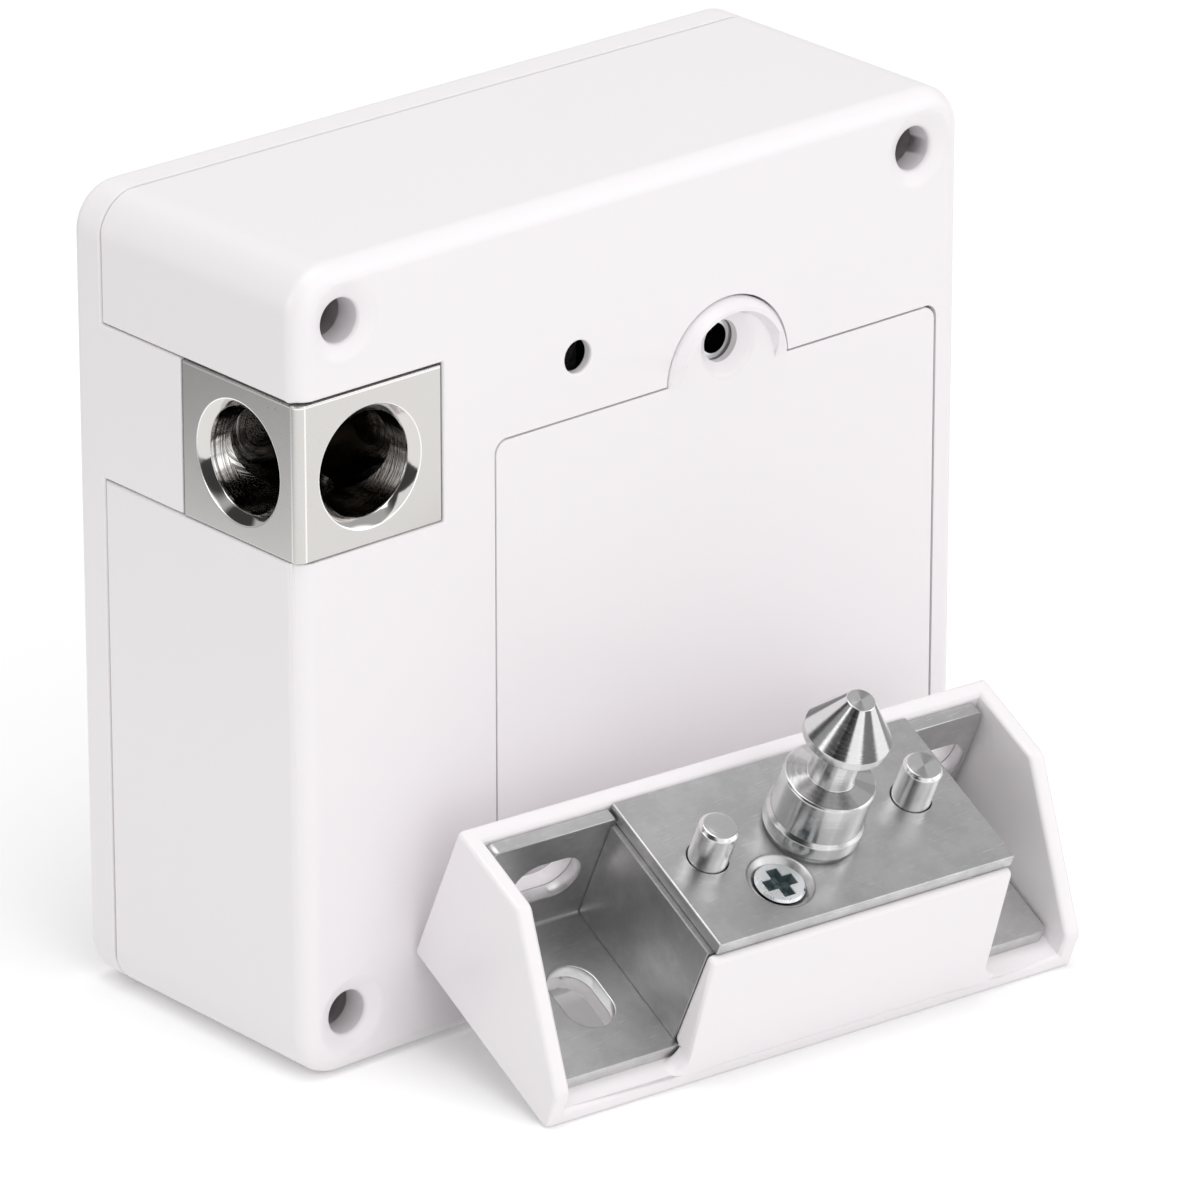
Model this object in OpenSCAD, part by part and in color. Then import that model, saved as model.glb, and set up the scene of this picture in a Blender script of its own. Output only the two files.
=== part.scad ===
// Hidden electronic cabinet lock with its striker, in millimetres.
// +Z is up and the front face looks towards -Y. The origin is the centre of the face the lock stands on.

/* [Lock body] */
// Width of the lock body
body_w = 77; // [76:0.5:90]
// Height of the lock body
body_h = 75.4; // [75:0.2:90]
// Depth of the lock body, front face to back face
body_d = 30.8; // [30.6:0.2:40]
// Radius of the four corners seen from the front
corner_r = 4.2; // [3:0.1:6]
// Radius of the rounded front edge
front_edge_r = 1.9; // [0.8:0.1:2.4]
// Radius of the rounded back edge
back_edge_r = 1.2; // [0.6:0.1:2]
// Wall thickness of the mouldings
wall = 1.8; // [1.4:0.1:2.2]
// Thickness of the rear cover
rear_t = 3.9; // [3:0.1:5]
// Width of the seam between housing and rear cover
seam = 0.2; // [0.1:0.05:0.4]

/* [Mounting holes] */
// Distance of each hole from the two outer faces beside it
hole_inset = 5.4; // [5:0.1:7]
// Diameter of the hole for the wood screw
hole_d = 4.1; // [3.6:0.1:4.8]
// Diameter of the countersink at the face
sink_d = 7.5; // [6.5:0.1:8]
// Depth of the countersink
sink_h = 0.8; // [0.6:0.1:1.6]
// Diameter of the hollow inside each screw post
post_bore_d = 5.4; // [5:0.1:6]
// Length of the hole's neck behind the countersink
hole_neck = 2.6; // [2:0.1:4]

/* [Striker block] */
// Width of the metal block in the front face
block_w = 16; // [15.6:0.1:16.4]
// Depth of the metal block in the side face
block_d = 15.7; // [15.4:0.1:16.5]
// Height of the metal block
block_h = 14.4; // [13.6:0.1:15]
// Distance from the top of the body down to the block's underside
block_z = 26.2; // [23.4:0.1:26.4]
// Diameter of the two striker ports
port_d = 9.6; // [9.3:0.1:10.4]
// Width of the chamfer at the mouth of each port
port_chamfer = 0.85; // [0.4:0.05:1]
// Distance of the front port's axis from the side face
front_port_in = 8; // [7.6:0.1:8.4]
// Distance of the side port's axis from the front face
side_port_in = 8.1; // [7.8:0.1:8.4]
// Gap between the block and the plastic round it
block_gap = 0.15; // [0.1:0.05:0.3]

/* [Battery bay] */
// Distance of the battery cover's left edge from the left side
cover_in = 22.1; // [21.8:0.1:22.6]
// Width of the battery cover
cover_w = 51.7; // [51.2:0.1:51.8]
// Height of the cover's top edge above the floor
cover_top = 54.8; // [54.6:0.1:56]
// Height of the cover's panel
cover_h = 44.4; // [44:0.1:44.6]
// Thickness of the battery cover
cover_t = 2; // [1.6:0.1:2.2]
// Gap round the battery cover
cover_gap = 0.2; // [0.1:0.05:0.3]
// Distance of the tab's centre from the middle of the lock
tab_x = 10.4; // [4:0.1:14]
// Outer radius of the tab
tab_r = 7; // [6.4:0.1:7.4]
// Height of the raised rim on the tab
rim_h = 1; // [0.5:0.1:1.2]
// Diameter of one battery cell
cell_d = 10.5; // [9.8:0.1:10.6]
// Length of one battery cell
cell_l = 44.5; // [43:0.1:45.2]

/* [Latch] */
// Diameter of the latch bolt
bolt_d = 3.8; // [3:0.1:4]
// Way that the latch bolt travels
bolt_travel = 2.8; // [2:0.1:3]
// Number of teeth on the pinion
pinion_teeth = 16; // [14:1:18]
// Module of the pinion and the rack
tooth_module = 0.5; // [0.5:0.01:0.52]
// Width of the pinion and the rack
rack_w = 3; // [2.4:0.1:3.2]

/* [Striker] */
// Length of the striker's cover
strike_l = 58; // [57:0.2:64]
// Depth of the striker's cover, back to front
strike_d = 22; // [21.6:0.1:24]
// Height of the striker's cover
strike_h = 15.7; // [15.4:0.1:18]
// Wall of the striker's cover
strike_wall = 1.7; // [1.4:0.1:1.8]
// Thickness of the steel bracket
steel_t = 1.4; // [1:0.1:1.6]
// Lean of the striker against the lock, in degrees
strike_tilt = 26; // [0:1:30]
// Turn of the striker away from the lock, in degrees
strike_turn = 5; // [0:0.5:8]
// Height of the stud above its plate
stud_h = 16.2; // [15:0.1:17]
// Diameter of the stud's collar
collar_d = 8.5; // [8:0.1:9]
// Diameter of an ejector pin
pin_d = 3.7; // [3.4:0.1:4.2]
// Height of a pin above the plate
pin_h = 4.1; // [3:0.1:4.6]
// Distance of each pin from the stud
pin_pitch = 11.2; // [10.4:0.1:12]

/* [Hidden] */
$fn = 48;

// Clearances
touch = 0.05;
slip = 0.1;
cut = 1;
pilot_d = 1.8;

// Places of the lock body
left_x = -body_w / 2;
right_x = body_w / 2;
front_y = -body_d / 2;
back_y = body_d / 2;
seam_y = back_y - rear_t;
inner_front_y = front_y + wall;
hole_x = body_w / 2 - hole_inset;
hole_z = [hole_inset, body_h - hole_inset];
post_r = 4.3;
rear_screw_in = 12.5;
rear_screw_x = [left_x + rear_screw_in, right_x - rear_screw_in];
rear_screw_z = [5.6, body_h - 5.6];
rear_post_r = 2.7;
rear_screw_d = 2.2;
rear_head_d = 4;
rear_head_h = 1.4;
rear_screw_l = 12;

// Places of the striker block and its ports
block_right = left_x + block_w;
block_back = front_y + block_d;
block_base = body_h - block_z;
block_top = block_base + block_h;
port_z = block_base + 7.1;
front_port_x = left_x + front_port_in;
side_port_y = front_y + side_port_in;
front_port_depth = block_d - 1.5;
side_port_depth = block_w - 1.8;
bolt_hole_h = 6;
block_edge_r = 0.9;
flange_y = front_y + 9.4;
flange_t = 2.4;
flange_w = 4.1;
flange_inset = 1.1;
block_screw_l = 7;
block_screw_x = block_right + 2.3;
block_screw_z = [block_base + 3.3, block_top - 3.3];

// Places of the battery bay
cover_left = left_x + cover_in;
cover_right = cover_left + cover_w;
cover_bottom = cover_top - cover_h;
cover_corner_r = 1.3;
ledge = 0.7;
bay_wall = 1.4;
bay_left = cover_left + ledge;
bay_right = cover_right - ledge;
bay_bottom = cover_bottom + ledge;
bay_top = cover_top - ledge;
cell_y = front_y + cover_t + cover_gap + 0.1 + cell_d / 2;
bay_floor_y = cell_y + cell_d / 2 + 0.1;
cell_pitch = (bay_top - bay_bottom) / 4;
contact_t = 0.4;
tab_z = cover_top - 0.2;
screw_z = cover_top + 2.5;
tab_t = 1.7;
spring_room = bay_right - bay_left - 2 * contact_t - cell_l;
insert_d = 4.4;
insert_bore = 2.8;
cover_hole_d = 3.9;
cover_sink_d = 6.6;
insert_l = 5;
hook_w = 7;
hook_drop = 1.6;
hook_t = 1.2;
hook_x = [cover_left + cover_w * 0.25, cover_left + cover_w * 0.75];
bay_floor_top = bay_top + bay_wall;

// Striker stud, from its plate upwards
stud_tip_d = 2.6;
cone_d = 7.9;
cone_from = stud_h - 4;
cone_band = 0.9;
neck_d = 4.3;
neck_bottom = 6.8;
foot_d = 9.1;
foot_h = 2.2;
stud_gap = 0.3;
shank_d = 4;
nut_h = 2.2;

// Latch bolt, rack and pinion
bolt_x = left_x + neck_bottom + bolt_d / 2 + 0.3;
bolt_y = front_y + neck_bottom + bolt_d / 2 + 0.3;
bolt_top = port_z - port_d / 2 - 0.1;
rack_y = front_y + 5.2;
pinion_r = tooth_module * pinion_teeth / 2;
pinion_x = left_x + 9.3;
pinion_z = block_base - 17.2;
rack_line_x = pinion_x + pinion_r;
rack_back_x = rack_line_x + 3.6;
rack_bottom = pinion_z - 7;
arm_z = block_base - 7.7;
arm_h = 4;
motor_w = 12;
motor_h = 10;
motor_l = 17.6;
motor_y = rack_y + rack_w + 0.7;
shaft_d = 2;
shelf_t = 1.4;

// Boards
board_t = 1.2;
board_y = 4;
board_x = [cover_left + 0.9, cover_right - 7.8];
board_z = [11, body_h - 9.4];
board_hole_in = 2.6;
board_screw_x = [board_x[0] + board_hole_in, board_x[1] - board_hole_in];
board_screw_z = [board_z[0] + board_hole_in, bay_floor_top - 2.6];
reset_x = left_x + 31.5;
reset_z = 60.4;
reset_d = 3;
reset_lip = 0.9;
switch_y = front_y + 7.2;
small_board_x = [left_x + 21.5, left_x + 42.5];
small_board_z = [57, body_h - 3.4];
small_post_in = 2.4;
small_post = [[small_board_x[0] + small_post_in, small_board_z[1] - small_post_in],
              [small_board_x[1] - small_post_in, small_board_z[1] - small_post_in]];
board_head_d = 3.4;
buzzer_d = 9;
buzzer_x = board_screw_x[1] - (board_head_d + buzzer_d) / 2 - 0.5;
buzzer_z = board_z[1] - 7;
coil_w = 44;
coil_band = 2.6;
coil_x = right_x - 10.5 - coil_w;
coil_z = 14;
button_travel = 0.25;

// Striker, in its own frame: X along it, +Y to its back, Z up from its underside
strike_edge_r = 0.5;
strike_flat = 9.8;
strike_lip = 4;
floor_top = strike_wall;
bracket_top = strike_wall + steel_t;
bracket_front = -19.7;
bracket_back_h = 15;
pin_floor = bracket_top + 1.4;
strike_block_x = [14.8, 47.6];
bracket_x = [strike_wall + 0.3, strike_l - strike_wall - 0.3];
strike_plate_x = [15.4, 47.8];
strike_plate_y = [-19.5, -1.75];
plate_t = 1.3;
plate_top = strike_h - 0.1;
plate_under = plate_top - plate_t;
shank_l = plate_top - bracket_top - 0.3;
block_front_y = -19;
stud_x = 31.4;
stud_y = -10.2;
plate_screw_x = 25.1;
plate_screw_y = -14.8;
slot_w = 4.8;
slot_l = 7.2;
slot_x = [9.5, strike_l - 5.9];
back_slot_z = 9;
floor_slot_y = -11.8;
bracket_corner_r = 0.8;
bend_r = 0.5;
panel_top_y = -20.2;
strike_lean = 0.2;
panel_foot_y = -strike_d + strike_lean * (floor_top - strike_edge_r) / (strike_lip - strike_edge_r);
panel_foot_r = 1.8;
panel_x = [strike_block_x[0] - slip, strike_block_x[1] + slip];
spring_d = 3.2;
pin_flange_d = 5.4;
pin_flange_h = 1.2;
bracket_screw_x = [20.2, 42.6];
bracket_screw_y = -15.4;

// Where the striker stands: its front edge on the floor, its back corner against the lock
strike_gap = 0.1;
strike_x = -26.3;
strike_z = (strike_d - strike_edge_r) * sin(strike_tilt) - strike_edge_r * cos(strike_tilt)
           + strike_edge_r;
strike_y = front_y - strike_gap;

// Puts a shape that is drawn in the striker's frame in its place
module on_strike() {
    translate([strike_x, strike_y, strike_z])
        rotate([0, 0, -strike_turn])
            rotate([strike_tilt, 0, 0])
                children();
}

// Extrudes a front view, drawn as X and Z, from y0 back to y1
module prism_y(y0, y1) {
    translate([0, y1, 0])
        rotate([90, 0, 0])
            linear_extrude(height = y1 - y0)
                children();
}

// Extrudes a side view, drawn as Y and Z, from x0 to x1
module prism_x(x0, x1) {
    translate([x0, 0, 0])
        rotate([90, 0, 90])
            linear_extrude(height = x1 - x0)
                children();
}

// A box given by its lowest corner and its highest corner
module span(low, high) {
    translate(low)
        cube(high - low);
}

// A cylinder along Y from y0 back to y1
module rod_y(x, z, d, y0, y1) {
    translate([x, y1, z])
        rotate([90, 0, 0])
            cylinder(d = d, h = y1 - y0);
}

// A cone along Y, d0 at its front and d1 at its back
module cone_y(x, z, d0, d1, y0, y1) {
    translate([x, y1, z])
        rotate([90, 0, 0])
            cylinder(d1 = d1, d2 = d0, h = y1 - y0);
}

// A rectangle with round corners, from its lower left corner
module round_rect(w, h, r) {
    translate([r, 0])
        square([w - 2 * r, h]);
    translate([0, r])
        square([w, h - 2 * r]);
    for (x = [r, w - r], y = [r, h - r])
        translate([x, y])
            circle(r);
}

// Half section of a rounded edge: a strip of the given width whose outer front corner is round
module edge_section(width, depth, edge) {
    translate([0, edge])
        square([width, depth - edge]);
    square([width - edge, edge]);
    intersection() {
        translate([width - edge, edge])
            circle(edge);
        square([width, edge]);
    }
}

// A slab that stands on z = 0, with its face at y = 0 and its rounded edge round that face
module soft_slab(w, h, r, edge, depth) {
    for (x = [-1, 1], z = [0, 1])
        translate([x * (w / 2 - r), 0, r + z * (h - 2 * r)])
            rotate([-90, 0, 0])
                rotate([0, 0, (x > 0 ? 0 : 180) + (x * (2 * z - 1) > 0 ? -90 : 0)])
                    rotate_extrude(angle = 90)
                        edge_section(r, depth, edge);
    for (x = [-1, 1])
        mirror([x > 0 ? 0 : 1, 0, 0])
            translate([w / 2 - r, 0, r])
                linear_extrude(height = h - 2 * r)
                    edge_section(r, depth, edge);
    for (z = [0, 1])
        translate([0, 0, h / 2])
            mirror([0, 0, z])
                translate([-(w / 2 - r), 0, h / 2 - r])
                    rotate([90, 0, 90])
                        linear_extrude(height = w - 2 * r)
                            mirror([1, -1])
                                edge_section(r, depth, edge);
    span([-(w / 2 - r), 0, r], [w / 2 - r, depth, h - r]);
}

// A coil spring round the Z axis, from z = 0 to z = h, r0 at its foot and r1 at its top
module coil(r0, r1, h, turns, wire) {
    sides = 6;
    steps = 14;
    rings = turns * steps;
    function at(i) = let (t = i / rings, a = 360 * i / steps, r = r0 + (r1 - r0) * t)
        [r * cos(a), r * sin(a), wire / 2 + (h - wire) * t];
    points = [for (i = [0 : rings], k = [0 : sides - 1])
        let (a = 360 * i / steps, b = 360 * k / sides, c = at(i))
            [c[0] + wire / 2 * cos(b) * cos(a), c[1] + wire / 2 * cos(b) * sin(a),
             c[2] + wire / 2 * sin(b)]];
    walls = [for (i = [0 : rings - 1], k = [0 : sides - 1])
        let (a = i * sides + k, b = i * sides + (k + 1) % sides)
            [a, a + sides, b + sides, b]];
    ends = [[for (k = [0 : sides - 1]) k],
            [for (k = [sides - 1 : -1 : 0]) rings * sides + k]];
    polyhedron(points, concat(walls, ends));
}

// A screw along +Z: its head's top at z = 0, its shank below; the head has a cross recess
module screw(head_d, head_h, shank_d, length, sunk = false) {
    difference() {
        union() {
            if (sunk)
                translate([0, 0, -head_h])
                    cylinder(d1 = shank_d, d2 = head_d, h = head_h);
            else
                translate([0, 0, -head_h])
                    cylinder(d = head_d, h = head_h);
            translate([0, 0, -length])
                cylinder(d = shank_d, h = length - head_h / 2);
        }
        for (a = [0, 90])
            rotate([0, 0, a])
                translate([-head_d * 0.3, -head_d * 0.07, -head_h * 0.55])
                    cube([head_d * 0.6, head_d * 0.14, head_h]);
    }
}

// A screw that is driven from the back of the lock towards its front
module rear_facing(x, y, z) {
    translate([x, y, z])
        rotate([-90, 0, 0])
            children();
}

// The four mounting holes, cut from y0 to y1
module mounting_holes(y0, y1) {
    for (x = [-hole_x, hole_x], z = hole_z)
        rod_y(x, z, hole_d, y0, y1);
}

// The wider hollow inside each screw post, between its neck and the rear cover
module post_hollows() {
    for (x = [-hole_x, hole_x], z = hole_z)
        rod_y(x, z, post_bore_d, front_y + sink_h + hole_neck, seam_y - 3);
}

// The battery cover's outline grown by a gap all round
module cover_outline(gap) {
    translate([cover_left - gap, cover_bottom - gap])
        round_rect(cover_w + 2 * gap, cover_h + 2 * gap, cover_corner_r);
    intersection() {
        translate([tab_x, tab_z])
            circle(tab_r + gap);
        translate([tab_x - tab_r - 1, cover_top - cover_corner_r])
            square([2 * tab_r + 2, tab_r + 4]);
    }
}

// Front moulding: shell, screw posts, battery bay, shelves for the motor and posts for the boards
module housing() {
    color("ghostwhite")
        difference() {
            union() {
                difference() {
                    translate([0, front_y, 0])
                        soft_slab(body_w, body_h, corner_r, front_edge_r, seam_y - seam - front_y);
                    prism_y(inner_front_y, seam_y + cut)
                        translate([left_x + wall, wall])
                            round_rect(body_w - 2 * wall, body_h - 2 * wall, corner_r - wall);
                }
                for (x = [-hole_x, hole_x], z = hole_z)
                    intersection() {
                        rod_y(x, z, 2 * post_r, inner_front_y - wall / 2, seam_y);
                        prism_y(front_y, seam_y)
                            translate([left_x + wall, wall])
                                square([body_w - 2 * wall, body_h - 2 * wall]);
                    }
                for (x = rear_screw_x, z = rear_screw_z)
                    intersection() {
                        rod_y(x, z, 2 * rear_post_r, inner_front_y - wall / 2, seam_y);
                        prism_y(front_y, seam_y)
                            translate([left_x + wall, wall])
                                square([body_w - 2 * wall, body_h - 2 * wall]);
                    }
                bay_box();
                tab_shelf();
                block_posts();
                motor_shelves();
                board_posts();
            }
            mounting_holes(front_y - cut, back_y);
            for (x = [-hole_x, hole_x], z = hole_z)
                cone_y(x, z, sink_d, hole_d, front_y, front_y + sink_h);
            battery_opening();
            for (x = rear_screw_x, z = rear_screw_z)
                rod_y(x, z, rear_screw_d, seam_y - 9, seam_y + cut);
            block_pocket();
            post_hollows();
            rod_y(reset_x, reset_z, reset_d, front_y - cut, inner_front_y + cut);
            rod_y(reset_x, reset_z, reset_d + 2, front_y + reset_lip, inner_front_y + cut);
        }
}

// Walls and floor of the battery bay
module bay_box() {
    difference() {
        span([bay_left - bay_wall, inner_front_y - wall / 2, bay_bottom - bay_wall],
             [right_x - wall / 2, bay_floor_y + bay_wall, bay_top + bay_wall]);
        span([bay_left, front_y - cut, bay_bottom], [bay_right, bay_floor_y, bay_top]);
    }
    for (i = [1 : 3])
        span([bay_left + 8, bay_floor_y - 1.2, bay_bottom + i * cell_pitch - 0.15],
             [bay_right - 8, bay_floor_y + bay_wall / 2, bay_bottom + i * cell_pitch + 0.15]);
}

// Shelf behind the cover's tab, with the boss for the threaded insert
module tab_shelf() {
    prism_y(inner_front_y - wall / 2, front_y + tab_t + 1.9)
        intersection() {
            translate([tab_x, tab_z])
                circle(tab_r + 1.6);
            translate([tab_x - tab_r - 2, bay_top])
                square([2 * tab_r + 4, tab_r + 4]);
        }
    rod_y(tab_x, screw_z, insert_d + 3, inner_front_y, front_y + tab_t + cover_gap + insert_l + 1);
}

// Posts that the striker block's flange is screwed to
module block_posts() {
    for (z = block_screw_z)
        difference() {
            rod_y(block_screw_x, z, 3.6, inner_front_y - wall / 2, flange_y);
            rod_y(block_screw_x, z, pilot_d, flange_y - 5, flange_y + cut);
        }
}

// Two shelves that hold the motor, and the rib that guides the rack's back
module motor_shelves() {
    for (z = [pinion_z - motor_h / 2 - slip - shelf_t, pinion_z + motor_h / 2 + slip])
        span([left_x + wall / 2, motor_y + 2.2, z], [bay_left - bay_wall / 2, seam_y - 1.6, z + shelf_t]);
    span([rack_back_x + slip, inner_front_y - wall / 2, rack_bottom],
         [rack_back_x + slip + 1.2, rack_y + rack_w, arm_z]);
}

// Posts for the main board on the bay floor, and for the small board on the front wall
module board_posts() {
    for (x = board_screw_x, z = board_screw_z)
        difference() {
            rod_y(x, z, 4, z > bay_top ? inner_front_y : bay_floor_y, board_y);
            rod_y(x, z, pilot_d, board_y - 5, board_y + cut);
        }
    for (p = small_post)
        difference() {
            rod_y(p[0], p[1], 3.6, inner_front_y - wall / 2, switch_y);
            rod_y(p[0], p[1], pilot_d, switch_y - 4, switch_y + cut);
        }
}

// Opening for the battery cover: its recess, its tab, its hook slots and the insert's hole
module battery_opening() {
    prism_y(front_y - cut, front_y + cover_t + cover_gap)
        translate([cover_left - cover_gap, cover_bottom - cover_gap])
            round_rect(cover_w + 2 * cover_gap, cover_h + 2 * cover_gap, cover_corner_r);
    prism_y(front_y - cut, front_y + tab_t + cover_gap)
        cover_outline(cover_gap);
    span([bay_left, front_y, bay_bottom], [bay_right, bay_floor_y - 1.3, bay_top]);
    rod_y(tab_x, screw_z, insert_d, front_y, front_y + tab_t + cover_gap + insert_l);
    for (x = hook_x)
        span([x - hook_w / 2 - 0.3, front_y + cover_t - 0.5, cover_bottom - hook_drop - 0.5],
             [x + hook_w / 2 + 0.3, front_y + cover_t + hook_t + 2, bay_bottom + cut]);
}

// Pocket for the striker block, open to the front and to the side
module block_pocket() {
    span([left_x - cut, front_y - cut, block_base - block_gap],
         [block_right + block_gap, block_back + block_gap, block_top + block_gap]);
    span([left_x - cut, block_back, block_base - block_gap],
         [left_x + wall + cut, back_y, block_top + block_gap]);
}

// Rear moulding: closing plate, inner lip, and the tongue that fills the housing's side slot
module rear_cover() {
    lip_in = wall + 0.15;
    lip_t = 1.2;
    color("ghostwhite")
        difference() {
            union() {
                translate([0, back_y, 0])
                    mirror([0, 1, 0])
                        soft_slab(body_w, body_h, corner_r, back_edge_r, rear_t);
                prism_y(seam_y - 1.4, seam_y + 0.5)
                    difference() {
                        translate([left_x + lip_in, lip_in])
                            round_rect(body_w - 2 * lip_in, body_h - 2 * lip_in, corner_r - lip_in);
                        translate([left_x + lip_in + lip_t, lip_in + lip_t])
                            square([body_w - 2 * (lip_in + lip_t), body_h - 2 * (lip_in + lip_t)]);
                    }
                span([left_x, block_back + block_gap, block_base], [left_x + wall, seam_y + 0.5, block_top]);
            }
            prism_y(seam_y - 2, back_y - wall)
                difference() {
                    translate([left_x + lip_in + lip_t, lip_in + lip_t])
                        square([body_w - 2 * (lip_in + lip_t), body_h - 2 * (lip_in + lip_t)]);
                    for (x = [-hole_x, hole_x], z = hole_z)
                        translate([x, z])
                            circle(post_r);
                    for (x = rear_screw_x, z = rear_screw_z)
                        translate([x, z])
                            circle(rear_post_r);
                }
            for (x = [-hole_x, hole_x], z = hole_z)
                rod_y(x, z, 2 * post_r + 0.4, seam_y - 2, seam_y);
            for (x = rear_screw_x, z = rear_screw_z) {
                rod_y(x, z, 2 * rear_post_r + 0.4, seam_y - 2, seam_y);
                rod_y(x, z, rear_screw_d + 0.3, seam_y - cut, back_y + cut);
                rod_y(x, z, rear_head_d + 0.3, back_y - rear_head_h - 0.2, back_y + cut);
            }
            mounting_holes(seam_y - 2, back_y + cut);
        }
}

// Four screws that hold the rear cover, driven from the back
module rear_screws() {
    color("silver")
        for (x = rear_screw_x, z = rear_screw_z)
            rear_facing(x, back_y - 0.2, z)
                screw(rear_head_d, rear_head_h, rear_screw_d, rear_screw_l);
}

// Nickel-plated block with its two crossing ports, the hole for the bolt and the screw flange
module lock_block() {
    color("silver")
        difference() {
            union() {
                translate([0, 0, block_base])
                    linear_extrude(height = block_h)
                        union() {
                            translate([left_x + block_edge_r, front_y])
                                square([block_w - block_edge_r, block_d]);
                            translate([left_x, front_y + block_edge_r])
                                square([block_w, block_d - block_edge_r]);
                            translate([left_x + block_edge_r, front_y + block_edge_r])
                                circle(block_edge_r);
                        }
                span([block_right - 1, flange_y, block_base + flange_inset],
                     [block_right + flange_w, flange_y + flange_t, block_top - flange_inset]);
            }
            rod_y(front_port_x, port_z, port_d, front_y - cut, front_y + front_port_depth);
            cone_y(front_port_x, port_z, port_d + 2 * port_chamfer, port_d,
                   front_y, front_y + port_chamfer);
            translate([left_x, side_port_y, port_z])
                rotate([0, 90, 0]) {
                    cylinder(d = port_d, h = side_port_depth);
                    cylinder(d1 = port_d + 2 * port_chamfer, d2 = port_d, h = port_chamfer);
                }
            translate([bolt_x, bolt_y, block_base - cut])
                cylinder(d = bolt_d + 2 * slip, h = bolt_hole_h);
            for (z = block_screw_z)
                rod_y(block_screw_x, z, 2.3, flange_y - cut, flange_y + flange_t + cut);
        }
}

// Two screws through the block's flange into the housing's posts
module block_screws() {
    color("silver")
        for (z = block_screw_z)
            rear_facing(block_screw_x, flange_y + flange_t + 1.2, z)
                screw(3.4, 1.2, pilot_d, block_screw_l);
}

// Latch slide: rack, arm and the round bolt that rises into the ports
module latch_slide() {
    color("silver") {
        difference() {
            prism_y(rack_y, rack_y + rack_w)
                union() {
                    translate([rack_line_x + 0.65, rack_bottom])
                        square([rack_back_x - rack_line_x - 0.65, arm_z + arm_h - rack_bottom]);
                    rack_teeth();
                }
            span([rack_back_x - 1.2, rack_y - cut, rack_bottom - cut],
                 [rack_back_x + cut, rack_y + rack_w + cut, rack_bottom + 0.8]);
        }
        span([bolt_x - bolt_d / 2, rack_y, arm_z], [rack_back_x, bolt_y + bolt_d / 2, arm_z + arm_h]);
        translate([bolt_x, bolt_y, arm_z + 1])
            cylinder(d = bolt_d, h = bolt_top - arm_z - 1);
    }
}

// Teeth of the rack, pointing towards the pinion; a gap lies level with the pinion's axis
module rack_teeth() {
    pitch = PI * tooth_module;
    for (i = [-4 : 3])
        translate([rack_line_x, pinion_z + (i + 0.5) * pitch])
            polygon([[0.7, -pitch / 4 - 0.12], [-0.45, -pitch / 4 + 0.28],
                     [-0.45, pitch / 4 - 0.28], [0.7, pitch / 4 + 0.12]]);
}

// Output shaft of the gear motor
module output_shaft() {
    color("silver")
        rod_y(pinion_x, pinion_z, shaft_d, rack_y - 0.8, motor_y - touch);
}

// Brass pinion on the output shaft; one tooth points at the rack
module drive_pinion() {
    root = pinion_r - 0.62;
    tip = pinion_r + 0.42;
    step = 360 / pinion_teeth;
    root_gap = root * sin(step / 2) - PI * tooth_module / 4 - 0.05;
    mid_gap = pinion_r * sin(step / 2) - PI * tooth_module / 4 + 0.1;
    tip_gap = tip * sin(step / 2) - PI * tooth_module / 4 + 0.42;
    color("goldenrod")
        translate([pinion_x, 0, pinion_z])
            difference() {
                rod_y(0, 0, 2 * tip, rack_y + 0.2, rack_y + rack_w - 0.2);
                for (i = [0 : pinion_teeth - 1])
                    rotate([0, (i + 0.5) * step, 0])
                        prism_y(rack_y, rack_y + rack_w)
                            polygon([[root, -root_gap], [pinion_r, -mid_gap], [tip, -tip_gap],
                                     [tip + 0.5, -tip_gap], [tip + 0.5, tip_gap], [tip, tip_gap],
                                     [pinion_r, mid_gap], [root, root_gap]]);
                rod_y(0, 0, shaft_d, rack_y - cut, rack_y + rack_w + cut);
            }
}

// Small geared motor: gear case in front, flat-sided motor can behind
module gear_motor() {
    gear_l = motor_l * 0.5;
    bottom = pinion_z - motor_h / 2;
    color("silver") {
        span([pinion_x - motor_w / 2, motor_y, bottom],
             [pinion_x + motor_w / 2, motor_y + gear_l, bottom + motor_h]);
        prism_y(motor_y + gear_l - 0.5, motor_y + motor_l - 1)
            intersection() {
                translate([pinion_x, pinion_z])
                    circle(d = motor_w);
                translate([pinion_x - motor_w / 2, bottom])
                    square([motor_w, motor_h]);
            }
        rod_y(pinion_x, pinion_z, 4.5, motor_y + motor_l - 1.5, motor_y + motor_l);
    }
}

// Battery cover: panel, round tab with raised rim and screw hole, two hooks at its lower edge
module battery_cover() {
    color("ghostwhite")
        difference() {
            union() {
                prism_y(front_y, front_y + cover_t)
                    translate([cover_left, cover_bottom])
                        round_rect(cover_w, cover_h, cover_corner_r);
                prism_y(front_y, front_y + tab_t)
                    cover_outline(0);
                tab_rim();
                for (x = hook_x)
                    span([x - hook_w / 2, front_y + cover_t, cover_bottom - hook_drop],
                         [x + hook_w / 2, front_y + cover_t + hook_t, cover_bottom + 2.4]);
            }
            rod_y(tab_x, screw_z, cover_hole_d, front_y - cut, front_y + cover_t + cut);
            cone_y(tab_x, screw_z, cover_sink_d, cover_hole_d, front_y, front_y + 1);
        }
}

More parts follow.
